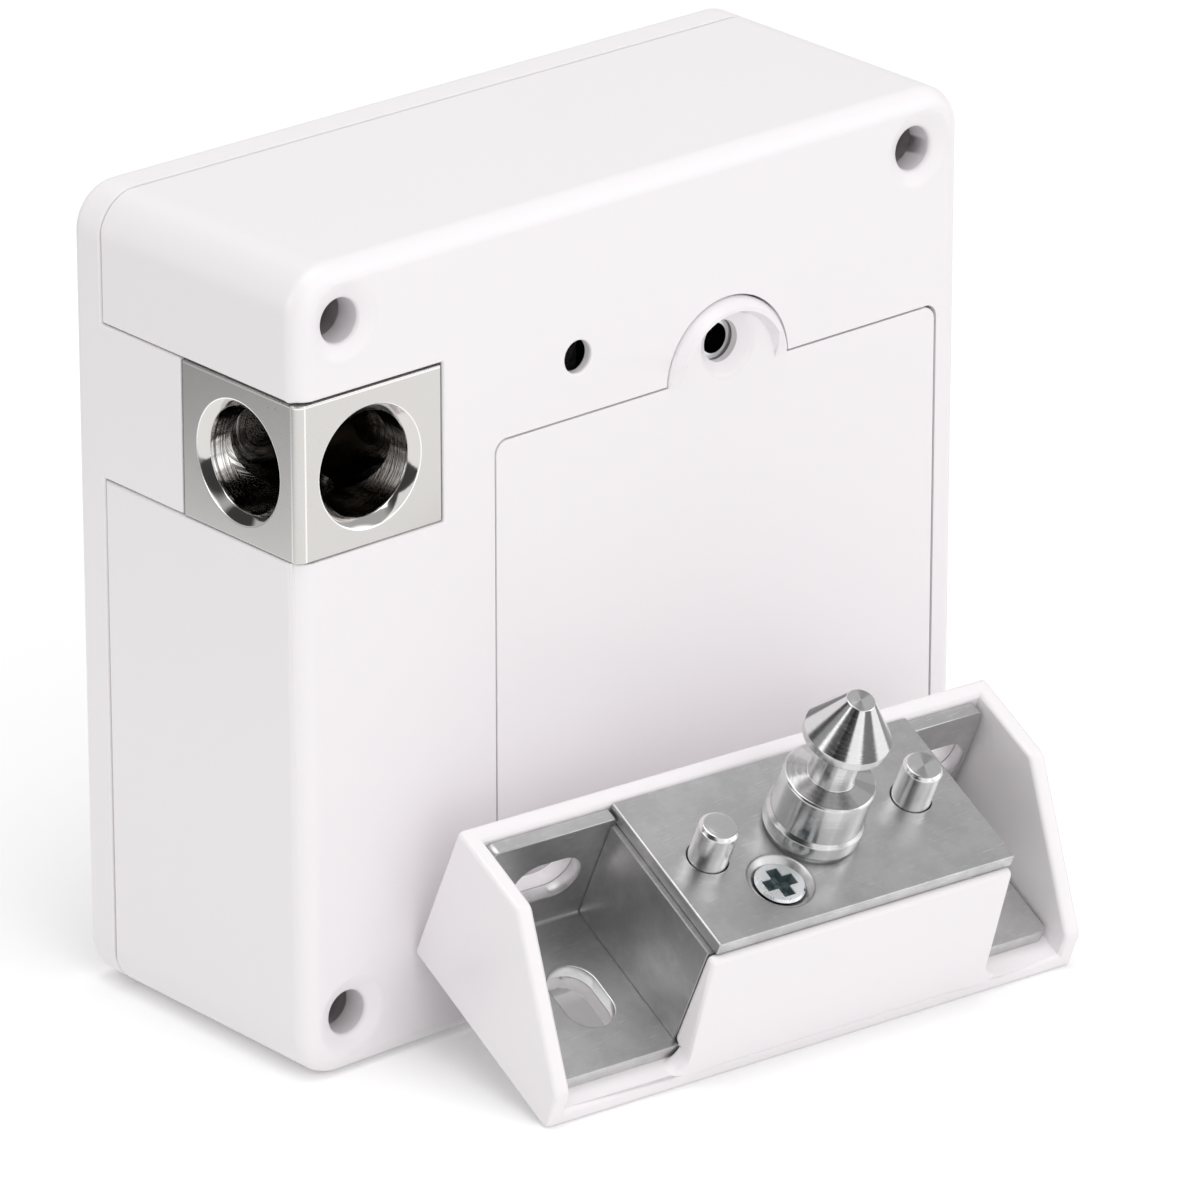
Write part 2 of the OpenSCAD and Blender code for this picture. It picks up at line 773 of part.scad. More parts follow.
// Raised rim along the tab's arc, fading out where it meets the panel
module tab_rim() {
    intersection() {
        translate([tab_x, front_y, tab_z])
            rotate([-90, 0, 0])
                rotate_extrude()
                    polygon([[tab_r - 1.6, 0.3], [tab_r - 1.1, -rim_h], [tab_r - 0.7, -rim_h],
                             [tab_r, 0], [tab_r, 0.3]]);
        prism_x(tab_x - tab_r, tab_x + tab_r)
            polygon([[front_y + 0.3, tab_z], [front_y, tab_z],
                     [front_y - rim_h, cover_top + 2.6], [front_y - rim_h, cover_top + tab_r + 2],
                     [front_y + 0.3, cover_top + tab_r + 2]]);
    }
}

// Threaded steel insert behind the cover's screw hole
module cover_insert() {
    color("silver")
        difference() {
            rod_y(tab_x, screw_z, insert_d, front_y + tab_t + cover_gap,
                  front_y + tab_t + cover_gap + insert_l);
            rod_y(tab_x, screw_z, insert_bore, front_y, front_y + tab_t + cover_gap + insert_l + cut);
        }
}

// One cell lying along X; even cells point right, odd cells point left
module battery_cell(i) {
    plus_right = i % 2 == 0;
    start = bay_left + contact_t + (plus_right ? spring_room : 0);
    z = bay_bottom + (i + 0.5) * cell_pitch;
    color("dimgray")
        translate([start + cell_l / 2, cell_y, z])
            mirror([plus_right ? 0 : 1, 0, 0])
                rotate([0, 90, 0])
                    translate([0, 0, -cell_l / 2])
                        rotate_extrude()
                            polygon([[0, 0], [cell_d / 2 - 0.8, 0], [cell_d / 2 - 0.8, 0.2],
                                     [cell_d / 2, 0.5], [cell_d / 2, cell_l - 1.6],
                                     [cell_d / 2 - 0.6, cell_l - 1], [1.9, cell_l - 1],
                                     [1.9, cell_l], [0, cell_l]]);
}

module battery_cell_1() {
    battery_cell(0);
}

module battery_cell_2() {
    battery_cell(1);
}

module battery_cell_3() {
    battery_cell(2);
}

module battery_cell_4() {
    battery_cell(3);
}

// Sheet contacts at both ends of the bay; the right ones join two cells
module contact_plates() {
    low = bay_floor_y - 9;
    high = bay_floor_y;
    color("silver") {
        for (i = [0 : 3])
            span([bay_left, low, bay_bottom + i * cell_pitch + 1],
                 [bay_left + contact_t, high, bay_bottom + (i + 1) * cell_pitch - 1]);
        for (i = [0, 2])
            span([bay_right - contact_t, low, bay_bottom + i * cell_pitch + 1],
                 [bay_right, high, bay_bottom + (i + 2) * cell_pitch - 1]);
        span([bay_left, high - 4, bay_bottom + 2 * cell_pitch - 1.5],
             [bay_left + contact_t, high - 1, bay_bottom + 2 * cell_pitch + 1.5]);
    }
}

// Conical contact springs on the cells' negative ends
module contact_springs() {
    color("silver")
        for (i = [0 : 3])
            translate([i % 2 == 0 ? bay_left + contact_t : bay_right - contact_t, cell_y,
                       bay_bottom + (i + 0.5) * cell_pitch])
                mirror([i % 2 == 0 ? 0 : 1, 0, 0])
                    rotate([0, 90, 0])
                        coil(3.4, 2, spring_room, 4, 0.5);
}

// Main circuit board behind the battery bay
module control_board() {
    color("seagreen")
        prism_y(board_y, board_y + board_t)
            difference() {
                translate([board_x[0], board_z[0]])
                    square([board_x[1] - board_x[0], board_z[1] - board_z[0]]);
                for (x = board_screw_x, z = board_screw_z)
                    translate([x, z])
                        circle(d = 2.3);
            }
}

// Screws of the main board and of the switch board
module board_screws() {
    color("silver") {
        for (x = board_screw_x, z = board_screw_z)
            rear_facing(x, board_y + board_t + 1.2, z)
                screw(board_head_d, 1.2, pilot_d, 5.4);
        for (p = small_post)
            rear_facing(p[0], switch_y + 0.8 + 1.2, p[1])
                screw(board_head_d, 1.2, pilot_d, 4.6);
    }
}

// Chips and small parts on the back of the main board
module controller_chips() {
    x = board_x[0];
    y = board_y + board_t;
    z = board_z[0];
    color("dimgray") {
        span([x + 9.5, y, z + 23], [x + 18.5, y + 1.6, z + 32]);
        span([x + 24.5, y, z + 27], [x + 29.5, y + 1.4, z + 32]);
        span([x + 9.5, y, z + 9], [x + 13.5, y + 1.2, z + 14]);
        for (i = [0, 1])
            rod_y(x + 21.5 + 7 * i, z + 14, 5, y, y + 5.4);
    }
}

// Small board that carries the set switch, behind the reset hole
module switch_board() {
    color("seagreen")
        prism_y(switch_y, switch_y + 0.8)
            difference() {
                translate([small_board_x[0], small_board_z[0]])
                    square([small_board_x[1] - small_board_x[0], small_board_z[1] - small_board_z[0]]);
                for (p = small_post)
                    translate(p)
                        circle(d = 2.3);
            }
}

// Body of the set switch
module set_switch() {
    color("silver")
        difference() {
            span([reset_x - 3, switch_y - 3.4, reset_z - 3], [reset_x + 3, switch_y, reset_z + 3]);
            rod_y(reset_x, reset_z, 3.7, switch_y - 3.4 - cut, switch_y - 1.6);
        }
}

// Plunger of the set switch, reached with a pin through the reset hole
module set_button() {
    color("dimgray")
        rod_y(reset_x, reset_z, 3.5, switch_y - 4.6, switch_y - 1.6 - button_travel - touch);
}

// Buzzer on the back of the main board
module buzzer() {
    color("dimgray")
        difference() {
            rod_y(buzzer_x, buzzer_z, buzzer_d, board_y + board_t, board_y + board_t + 3.6);
            rod_y(buzzer_x, buzzer_z, 1.6, board_y + board_t + 2.8, board_y + board_t + 4);
        }
}

// Plug header on the main board for the motor and the battery leads
module board_header() {
    color("ghostwhite")
        difference() {
            span([board_x[0] + 1, board_y + board_t, board_z[0] + 15],
                 [board_x[0] + 6, board_y + board_t + 5, board_z[0] + 25]);
            span([board_x[0] + 1.8, board_y + board_t + 1, board_z[0] + 15.8],
                 [board_x[0] + 5.2, board_y + board_t + 6, board_z[0] + 24.2]);
        }
}

// Wound loop of the card reader, stuck to the inside of the rear cover
module antenna_coil() {
    y = back_y - wall;
    color("chocolate")
        prism_y(y - 0.8, y)
            difference() {
                translate([coil_x, coil_z])
                    round_rect(coil_w, coil_w, 6);
                translate([coil_x + coil_band, coil_z + coil_band])
                    round_rect(coil_w - 2 * coil_band, coil_w - 2 * coil_band, 6 - coil_band + 0.2);
            }
}

// White cover of the striker: floor, back wall, two slanted end walls and the front panel
module strike_cover() {
    color("ghostwhite")
        on_strike()
            difference() {
                union() {
                    for (x = [0, strike_l - strike_wall])
                        prism_x(x, x + strike_wall)
                            strike_end();
                    prism_x(strike_wall / 2, strike_l - strike_wall / 2)
                        union() {
                            translate([-strike_wall, 0])
                                square([strike_wall, strike_h]);
                            intersection() {
                                strike_end();
                                translate([-strike_d, 0])
                                    square([strike_d, floor_top]);
                            }
                        }
                    prism_x(panel_x[0], panel_x[1])
                        strike_panel();
                    panel_foot();
                }
                strike_slots();
            }
}

// Side view of the striker's front panel, drawn as Y and Z
module strike_panel() {
    polygon([[panel_foot_y, floor_top], [panel_top_y, plate_under - touch],
             [block_front_y - touch, plate_under - touch],
             [block_front_y - touch, bracket_top + slip],
             [bracket_front - slip, bracket_top + slip],
             [bracket_front - slip, floor_top / 2], [panel_foot_y + 0.5, floor_top / 2]]);
}

// Hollow fillets where the sides of the front panel run out into the lip
module panel_foot() {
    for (s = [0, 1])
        intersection() {
            prism_x(panel_x[s] - (s == 0 ? panel_foot_r : 0.5), panel_x[s] + (s == 0 ? 0.5 : panel_foot_r))
                strike_panel();
            prism_y(-strike_d, bracket_front - slip)
                difference() {
                    translate([panel_x[s] - panel_foot_r, 0])
                        square([2 * panel_foot_r, floor_top + panel_foot_r]);
                    translate([panel_x[s] + (2 * s - 1) * panel_foot_r, floor_top + panel_foot_r])
                        circle(panel_foot_r);
                }
        }
}

// Side view of the striker's end wall, drawn as Y and Z
module strike_end() {
    polygon([[0, 0], [-strike_d + strike_edge_r, 0], [-strike_d, strike_edge_r],
             [-strike_d + strike_lean, strike_lip], [-strike_flat, strike_h], [0, strike_h]]);
    translate([-strike_d + strike_edge_r, strike_edge_r])
        circle(strike_edge_r);
}

// Screw slots through the striker's floor and back wall
module strike_slots() {
    for (x = slot_x) {
        translate([x, 0, -cut])
            for (y = [-1, 1])
                translate([0, floor_slot_y + y * (slot_l - slot_w) / 2, 0])
                    cylinder(d = slot_w, h = bracket_top + 2 * cut);
        span([x - slot_w / 2, floor_slot_y - (slot_l - slot_w) / 2, -cut],
             [x + slot_w / 2, floor_slot_y + (slot_l - slot_w) / 2, bracket_top + cut]);
        for (s = [-1, 1])
            rod_y(x + s * (slot_l - slot_w) / 2, back_slot_z, slot_w, -strike_wall - steel_t - cut, cut);
        span([x - (slot_l - slot_w) / 2, -strike_wall - steel_t - cut, back_slot_z - slot_w / 2],
             [x + (slot_l - slot_w) / 2, cut, back_slot_z + slot_w / 2]);
    }
}

// Bent steel bracket inside the striker's cover
module strike_bracket() {
    color("silver")
        on_strike()
            difference() {
                union() {
                    translate([bracket_x[0], bracket_front, floor_top])
                        linear_extrude(height = steel_t)
                            round_rect(bracket_x[1] - bracket_x[0], -strike_wall - bracket_front,
                                       bracket_corner_r);
                    prism_y(-strike_wall - steel_t, -strike_wall)
                        translate([bracket_x[0], floor_top])
                            round_rect(bracket_x[1] - bracket_x[0], bracket_back_h - floor_top,
                                       bracket_corner_r);
                    for (x = [[bracket_x[0], strike_block_x[0] - slip],
                              [strike_block_x[1] + slip, bracket_x[1]]])
                        prism_x(x[0], x[1])
                            translate([-strike_wall - steel_t, bracket_top])
                                difference() {
                                    translate([-bend_r, -bend_r])
                                        square(2 * bend_r);
                                    translate([-bend_r, bend_r])
                                        circle(bend_r);
                                }
                }
                span([strike_plate_x[0] - 0.2, -strike_wall - steel_t - cut, plate_under],
                     [strike_plate_x[1] + 0.2, 0, strike_h]);
                strike_slots();
                for (x = bracket_screw_x)
                    translate([x, bracket_screw_y, floor_top - touch]) {
                        cylinder(d = 2.7, h = steel_t + cut);
                        cylinder(d1 = 4.9, d2 = 2.7, h = 1.2);
                    }
            }
}

// Two countersunk screws from under the bracket into the striker's block
module bracket_screws() {
    color("silver")
        on_strike()
            for (x = bracket_screw_x)
                translate([x, bracket_screw_y, floor_top])
                    mirror([0, 0, 1])
                        screw(4.6, 1.1, 2.4, 7, true);
}

// Steel block of the striker: bores for the pins and their springs, the stud and the plate screw
module strike_block() {
    color("silver")
        on_strike()
            difference() {
                span([strike_block_x[0], block_front_y, bracket_top],
                     [strike_block_x[1], -strike_wall - steel_t, plate_under]);
                for (s = [-1, 1])
                    translate([stud_x + s * pin_pitch, stud_y, pin_floor])
                        cylinder(d = pin_flange_d + 0.2, h = plate_under - pin_floor + cut);
                translate([stud_x, stud_y, bracket_top - cut]) {
                    cylinder(d = shank_d + 0.1, h = plate_under - bracket_top + 2 * cut);
                    cylinder(d = 8.4, h = nut_h + 0.5 + cut);
                }
                translate([plate_screw_x, plate_screw_y, plate_under - 5.5])
                    cylinder(d = 3, h = 6);
                for (x = bracket_screw_x)
                    translate([x, bracket_screw_y, bracket_top - cut])
                        cylinder(d = 2.4, h = 7.5 - bracket_top + floor_top + cut);
            }
}

// Top plate of the striker
module strike_plate() {
    color("silver")
        on_strike()
            difference() {
                span([strike_plate_x[0], strike_plate_y[0], plate_under],
                     [strike_plate_x[1], strike_plate_y[1], plate_top]);
                for (s = [-1, 1])
                    translate([stud_x + s * pin_pitch, stud_y, plate_under - cut])
                        cylinder(d = pin_d + 0.16, h = plate_t + 2 * cut);
                translate([stud_x, stud_y, plate_under - cut])
                    cylinder(d = shank_d + 0.1, h = plate_t + 2 * cut);
                translate([plate_screw_x, plate_screw_y, plate_under - cut]) {
                    cylinder(d = 3.2, h = plate_t + 2 * cut);
                    translate([0, 0, cut + 0.2])
                        cylinder(d1 = 3.4, d2 = 6.2, h = plate_t - 0.2);
                }
            }
}

// Screw of the top plate
module plate_screw() {
    color("silver")
        on_strike()
            translate([plate_screw_x, plate_screw_y, plate_top - 0.15])
                screw(4.7, 1.1, 3, 5.5, true);
}

// Turned stud: foot, collar, neck and pointed head; its shank goes through the block to the nut
module striker_stud() {
    head = cone_from;
    color("silver")
        on_strike()
            translate([stud_x, stud_y, plate_top])
                rotate_extrude()
                    polygon([[0, -shank_l], [shank_d / 2, -shank_l], [shank_d / 2, 0],
                             [foot_d / 2 - 0.5, 0], [foot_d / 2 - 0.5, stud_gap],
                             [foot_d / 2 - 0.25, stud_gap], [foot_d / 2, stud_gap + 0.25],
                             [foot_d / 2, foot_h - 0.35], [foot_d / 2 - 0.35, foot_h],
                             [collar_d / 2, foot_h], [collar_d / 2, neck_bottom - 0.7],
                             [collar_d / 2 - 0.7, neck_bottom], [neck_d / 2, neck_bottom],
                             [neck_d / 2, head - cone_band], [cone_d / 2 - 0.1, head - cone_band],
                             [cone_d / 2, head - cone_band + 0.1], [cone_d / 2, head],
                             [stud_tip_d / 2, stud_h], [0, stud_h]]);
}

// Nut on the stud's shank, in the underside of the block
module stud_nut() {
    color("silver")
        on_strike()
            translate([stud_x, stud_y, bracket_top + 0.4])
                difference() {
                    cylinder(d = 8, h = nut_h, $fn = 6);
                    translate([0, 0, -cut])
                        cylinder(d = shank_d, h = nut_h + 2 * cut);
                }
}

// Sprung pin that pushes the doors apart; side is -1 or 1
module ejector_pin(side) {
    reach = plate_t + pin_h;
    color("silver")
        on_strike()
            translate([stud_x + side * pin_pitch, stud_y, plate_under])
                rotate_extrude()
                    polygon([[0, -pin_flange_h - touch], [pin_flange_d / 2, -pin_flange_h - touch],
                             [pin_flange_d / 2, -touch], [pin_d / 2, -touch],
                             [pin_d / 2, reach - 0.5], [pin_d / 2 - 0.5, reach], [0, reach]]);
}

module ejector_pin_left() {
    ejector_pin(-1);
}

module ejector_pin_right() {
    ejector_pin(1);
}

// Spring under an ejector pin
module ejector_spring(side) {
    color("silver")
        on_strike()
            translate([stud_x + side * pin_pitch, stud_y, pin_floor])
                coil(spring_d / 2, spring_d / 2, plate_under - pin_flange_h - touch - pin_floor, 7, 0.5);
}

module ejector_spring_left() {
    ejector_spring(-1);
}

module ejector_spring_right() {
    ejector_spring(1);
}

housing();
rear_cover();
rear_screws();
lock_block();
block_screws();
latch_slide();
output_shaft();
drive_pinion();
gear_motor();
battery_cover();
cover_insert();
battery_cell_1();
battery_cell_2();
battery_cell_3();
battery_cell_4();
contact_plates();
contact_springs();
control_board();
board_screws();
controller_chips();
switch_board();
set_switch();
set_button();
buzzer();
board_header();
antenna_coil();
strike_cover();
strike_bracket();
bracket_screws();
strike_block();
strike_plate();
plate_screw();
striker_stud();
stud_nut();
ejector_pin_left();
ejector_pin_right();
ejector_spring_left();
ejector_spring_right();
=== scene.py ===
import math
from functools import cache

import bmesh
import bpy
from bpy.props import FloatProperty, FloatVectorProperty, IntProperty, PointerProperty
from mathutils import Euler, Matrix, Vector


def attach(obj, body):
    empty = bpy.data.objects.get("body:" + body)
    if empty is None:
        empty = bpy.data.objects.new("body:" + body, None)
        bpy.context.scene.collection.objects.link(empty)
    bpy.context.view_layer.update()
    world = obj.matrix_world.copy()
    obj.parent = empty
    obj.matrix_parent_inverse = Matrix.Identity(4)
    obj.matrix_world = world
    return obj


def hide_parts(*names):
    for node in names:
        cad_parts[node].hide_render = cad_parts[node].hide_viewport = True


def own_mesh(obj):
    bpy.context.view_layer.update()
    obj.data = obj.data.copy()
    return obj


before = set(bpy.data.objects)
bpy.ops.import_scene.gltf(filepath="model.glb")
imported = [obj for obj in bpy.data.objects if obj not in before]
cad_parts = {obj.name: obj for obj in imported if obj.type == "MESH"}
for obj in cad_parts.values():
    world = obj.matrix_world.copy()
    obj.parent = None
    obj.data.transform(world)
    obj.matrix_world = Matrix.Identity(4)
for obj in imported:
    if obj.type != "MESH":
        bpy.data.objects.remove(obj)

bl_info = {
    "name": "Cabinet lock dresser",
    "version": (1, 0, 0),
    "blender": (4, 5, 0),
    "location": "3D View > Sidebar > Cabinet lock",
    "description": "Makes the visible pieces, finishes and studio of a hidden electronic cabinet lock",
    "category": "Object",
}

MM = 0.001

# Where things stand in the frame, in millimetres
BODY_HEIGHT = 75.4
FRONT_Y = -15.4
LEFT_X = -38.5
FRONT_PORT = Vector((-30.5, 0, 56.3))
SIDE_PORT = Vector((0, -7.3, 56.3))
PORT_R = 4.8
PORT_MOUTH_R = 5.62
BLOCK_RIGHT = -22.5
BLOCK_BACK = 0.3
BLOCK_TOP = 63.6
COVER_LEFT, COVER_RIGHT, COVER_TOP = -17, 36.2, 55.3
TAB_AT = (10.4, 54.6)
TAB_R = 7.0
TAB_CLEAR_R = 7.6
INSERT_AT = (10.4, -11, 57.3)
INSERT_BORE_R = 1.42
BOLT_AT = (-29.4, -6.3, 50)
PINION_AT = (-29.2, -10, 32)
REAR_SCREW_Y = 15.2
REAR_SCREWS = [(x, REAR_SCREW_Y, z) for x in (-26, 26) for z in (5.6, 69.8)]

# The striker, in its own frame: how it stands, and where its pieces are
STRIKE_TILT = math.radians(26)
STRIKE_TURN = math.radians(5)
STRIKE_AT = Vector((-26.3, -15.5, 9.476))
STRIKE_TURNING = Euler((STRIKE_TILT, 0, 0)).to_matrix()
STRIKE_TURNING = Matrix.Rotation(-STRIKE_TURN, 3, "Z") @ STRIKE_TURNING
STRIKE_UP = STRIKE_TURNING @ Vector((0, 0, 1))
PLATE_TOP = 15.6
PLATE_UNDER = 14.3
STUD_AT = Vector((31.4, -10.2, PLATE_TOP))
STUD_CONE = 12.2
STUD_TIP = 16.2
PIN_PITCH = 11.2
PIN_FLOOR = 4.5
PIN_FLANGE = 1.25
PIN_TIP = 5.4
PLATE_SCREW_AT = Vector((25.1, -14.8, PLATE_TOP - 0.15))
PIN_SIDES = {"left": -1, "right": 1}

# The studio, in metres and degrees
KEY_AT = (-0.12, -1.2, 0.5)
TOP_AT = (-0.1, -0.1, 1.3)
LAMPS_AIM = Vector((0, 0, 0.035))
CAMERA_AT = (-0.49417, -0.57906, 0.34527)
CAMERA_TURN = (67.56, 0, -40.98)
FLOOR_REACH = 3.0

# Edges between faces that meet at more than this, in degrees, are eased, in so many steps
EASED_ANGLE = 38
EASED_STEPS = 2


def on_strike(point):
    """A point of the striker's own frame, in the lock's frame, in millimetres."""
    return STRIKE_TURNING @ Vector(point) + STRIKE_AT


def on_pin(side, height):
    """The point of a pin's axis at a height of the striker's own frame, in the lock's frame."""
    return on_strike((STUD_AT.x + PIN_SIDES[side] * PIN_PITCH, STUD_AT.y, height))


def metres(point):
    """A point given in millimetres, in metres."""
    return tuple(value * MM for value in point)


# Sizes and colours that a user would change


def length(name, description, default):
    """A length that a user would change."""
    return FloatProperty(
        name=name, description=description, default=default, subtype="DISTANCE", unit="LENGTH"
    )


def colour(name, description, default):
    """A colour that a user would change."""
    return FloatVectorProperty(
        name=name, description=description, default=default, subtype="COLOR", size=3, min=0, max=1
    )


class LockSizes(bpy.types.PropertyGroup):
    """Sizes of the small forms that the solids leave out"""

    moulding_edge: length("Moulding edge", "Rounding of the plastic's sharp edges", 0.00024)
    striker_edge: length("Striker cover edge", "Rounding of the striker cover's edges", 0.00045)
    sheet_edge: length("Sheet edge", "Rounding of the steel sheets' edges", 0.00014)
    block_edge: length("Block edge", "Rounding of the port block's edges", 0.00012)
    turned_sides: IntProperty(
        name="Turned sides", description="Faces round a turned part", default=128, min=24, max=256
    )
    screw_sides: IntProperty(
        name="Screw sides", description="Faces round a screw", default=48, min=12, max=128
    )


class LockColours(bpy.types.PropertyGroup):
    """Colours of the finishes"""

    plastic: colour("Plastic", "White moulded plastic", (0.90, 0.868, 0.886))
    nickel: colour("Nickel", "Plated port block", (0.70, 0.68, 0.665))
    satin: colour("Satin steel", "Sheets of the striker", (0.66, 0.66, 0.66))
    bright: colour("Bright steel", "Turned stud and pins", (0.78, 0.78, 0.78))
    zinc: colour("Zinc", "Screws", (0.60, 0.64, 0.68))
    screw_face: colour("Screw faces", "Heads of the screws in view", (0.84, 0.86, 0.87))
    brass: colour("Brass", "Pinion of the latch", (0.70, 0.50, 0.22))
    board: colour("Board", "Circuit boards", (0.02, 0.16, 0.06))
    cell: colour("Cell sleeve", "Battery cells", (0.05, 0.05, 0.055))
    black: colour("Black parts", "Chips, buzzer and button", (0.02, 0.02, 0.021))
    wire: colour("Enamelled wire", "Reader coil", (0.32, 0.10, 0.04))
    nylon: colour("Nylon", "Plug header", (0.78, 0.75, 0.68))


class LockStudio(bpy.types.PropertyGroup):
    """Light and camera"""

    room_light: FloatProperty(
        name="Room light", description="Strength of the even light", default=0.7, min=0
    )
    key_power: FloatProperty(
        name="Key power", description="Power of the large lamp in front", default=4.1, min=0, subtype="POWER"
    )
    top_power: FloatProperty(
        name="Top power", description="Power of the lamp overhead", default=5.2, min=0, subtype="POWER"
    )
    focal_length: FloatProperty(
        name="Focal length", description="Lens, in millimetres", default=275.55, min=10
    )


# Node helpers


class Shading:
    """A material or a node group under construction."""

    def __init__(self, tree):
        self.tree = tree
        self.nodes = tree.nodes
        self.links = tree.links

    def add(self, kind, inputs=None, **settings):
        """A new node with its inputs fed and its settings set."""
        made = self.nodes.new(kind)
        for key, value in settings.items():
            setattr(made, key, value)
        for key, value in (inputs or {}).items():
            self.feed(made.inputs[key], value)
        return made

    def feed(self, socket, value):
        """Links an output to an input, or gives the input a value."""
        if isinstance(value, bpy.types.NodeSocket):
            self.links.new(value, socket)
        else:
            socket.default_value = value

    def math(self, operation, *values, clamp=False):
        made = self.add("ShaderNodeMath", operation=operation, use_clamp=clamp)
        for socket, value in zip(made.inputs, values):
            self.feed(socket, value)
        return made.outputs[0]

    def vector(self, operation, *values, out=0):
        made = self.add("ShaderNodeVectorMath", operation=operation)
        for socket, value in zip(made.inputs, values):
            self.feed(socket, value)
        return made.outputs[out]

    def spread(self, value, low, high, to_low=0.0, to_high=1.0, smooth=False):
        """A value between low and high, spread over another range."""
        made = self.add("ShaderNodeMapRange", interpolation_type="SMOOTHSTEP" if smooth else "LINEAR")
        for key, item in zip(range(5), (value, low, high, to_low, to_high)):
            self.feed(made.inputs[key], item)
        return made.outputs[0]

    def noise(self, coordinates, scale, detail=2.0, roughness=0.5):
        given = {"Vector": coordinates, "Scale": scale, "Detail": detail, "Roughness": roughness}
        return self.add("ShaderNodeTexNoise", given).outputs[0]

    def times(self, first, second):
        return self.math("MULTIPLY", first, second)

    def plus(self, first, second):
        return self.math("ADD", first, second)

    def minus(self, first, second):
        return self.math("SUBTRACT", first, second)

    def invert(self, value):
        return self.minus(1.0, value)

    def highest(self, values):
        """The highest of some values."""
        top = values[0]
        for value in values[1:]:
            top = self.math("MAXIMUM", top, value)
        return top

    def mix(self, share, first, second):
        """Two colours mixed; each is a socket, or red, green and blue."""
        made = self.add("ShaderNodeMix", data_type="RGBA")
        self.feed(made.inputs["Factor"], share)
        for socket, value in ((made.inputs[6], first), (made.inputs[7], second)):
            self.feed(socket, value if isinstance(value, bpy.types.NodeSocket) else (*value, 1))
        return made.outputs[2]


GEOMETRY = "NodeSocketGeometry"
FLOAT = "NodeSocketFloat"
VECTOR = "NodeSocketVector"
COUNT = "NodeSocketInt"
MATERIAL = "NodeSocketMaterial"
ROTATION = "NodeSocketRotation"


def add_sockets(tree, in_out, rows):
    """Gives a tree its inputs or outputs, each a label, a kind and, where there is one, a default."""
    for label, kind, *default in rows:
        socket = tree.interface.new_socket(label, in_out=in_out, socket_type=kind)
        if default:
            socket.default_value = default[0]


def shader_group(name, inputs, outputs):
    """An empty shader node group, worked on at coordinates: its Shading, its inputs and its outputs."""
    made = bpy.data.node_groups.new(name, "ShaderNodeTree")
    add_sockets(made, "INPUT", [("Coordinates", VECTOR), *inputs])
    add_sockets(made, "OUTPUT", [(label, FLOAT) for label in outputs])
    work = Shading(made)
    return work, work.add("NodeGroupInput").outputs, work.add("NodeGroupOutput").inputs


@cache
def grain_group():
    """Fine unevenness of a moulded or sanded surface: a height and a roughness shift."""
    work, given, out = shader_group(
        "Surface grain",
        [("Scale", FLOAT, 900.0), ("Shift", FLOAT, 0.05)],
        ["Height", "Shift"],
    )
    place, scale = given["Coordinates"], given["Scale"]
    fine = work.noise(place, scale, 3.0, 0.6)
    slow = work.noise(place, work.times(scale, 0.03))
    centred = work.minus(work.plus(slow, work.times(fine, 0.4)), 0.7)
    work.feed(out["Height"], fine)
    work.feed(out["Shift"], work.times(centred, given["Shift"]))
    return work.tree


@cache
def scratch_group():
    """Fine handling scratches in several directions, as a mask."""
    work, given, out = shader_group(
        "Fine scratches",
        [("Scale", FLOAT, 5200.0), ("Cut", FLOAT, 0.66)],
        ["Mask"],
    )
    cut = given["Cut"]
    masks = []
    for turn in ((0.3, 0.2, 0.5), (-0.2, 0.5, -0.8), (0.7, -0.3, 1.4)):
        turned = work.add(
            "ShaderNodeMapping",
            {"Vector": given["Coordinates"], "Rotation": turn, "Scale": (0.06, 1.0, 1.0)},
        )
        streak = work.noise(turned.outputs[0], given["Scale"], 3.0, 0.65)
        masks.append(work.spread(streak, cut, work.plus(cut, 0.08)))
    work.feed(out["Mask"], work.highest(masks))
    return work.tree


@cache
def dust_group():
    """Sparse specks, as a mask."""
    work, given, out = shader_group(
        "Sparse specks",
        [("Scale", FLOAT, 260.0), ("Cut", FLOAT, 0.74)],
        ["Mask"],
    )
    cut = given["Cut"]
    specks = work.noise(given["Coordinates"], given["Scale"], 4.0, 0.7)
    work.feed(out["Mask"], work.spread(specks, cut, work.plus(cut, 0.03)))
    return work.tree


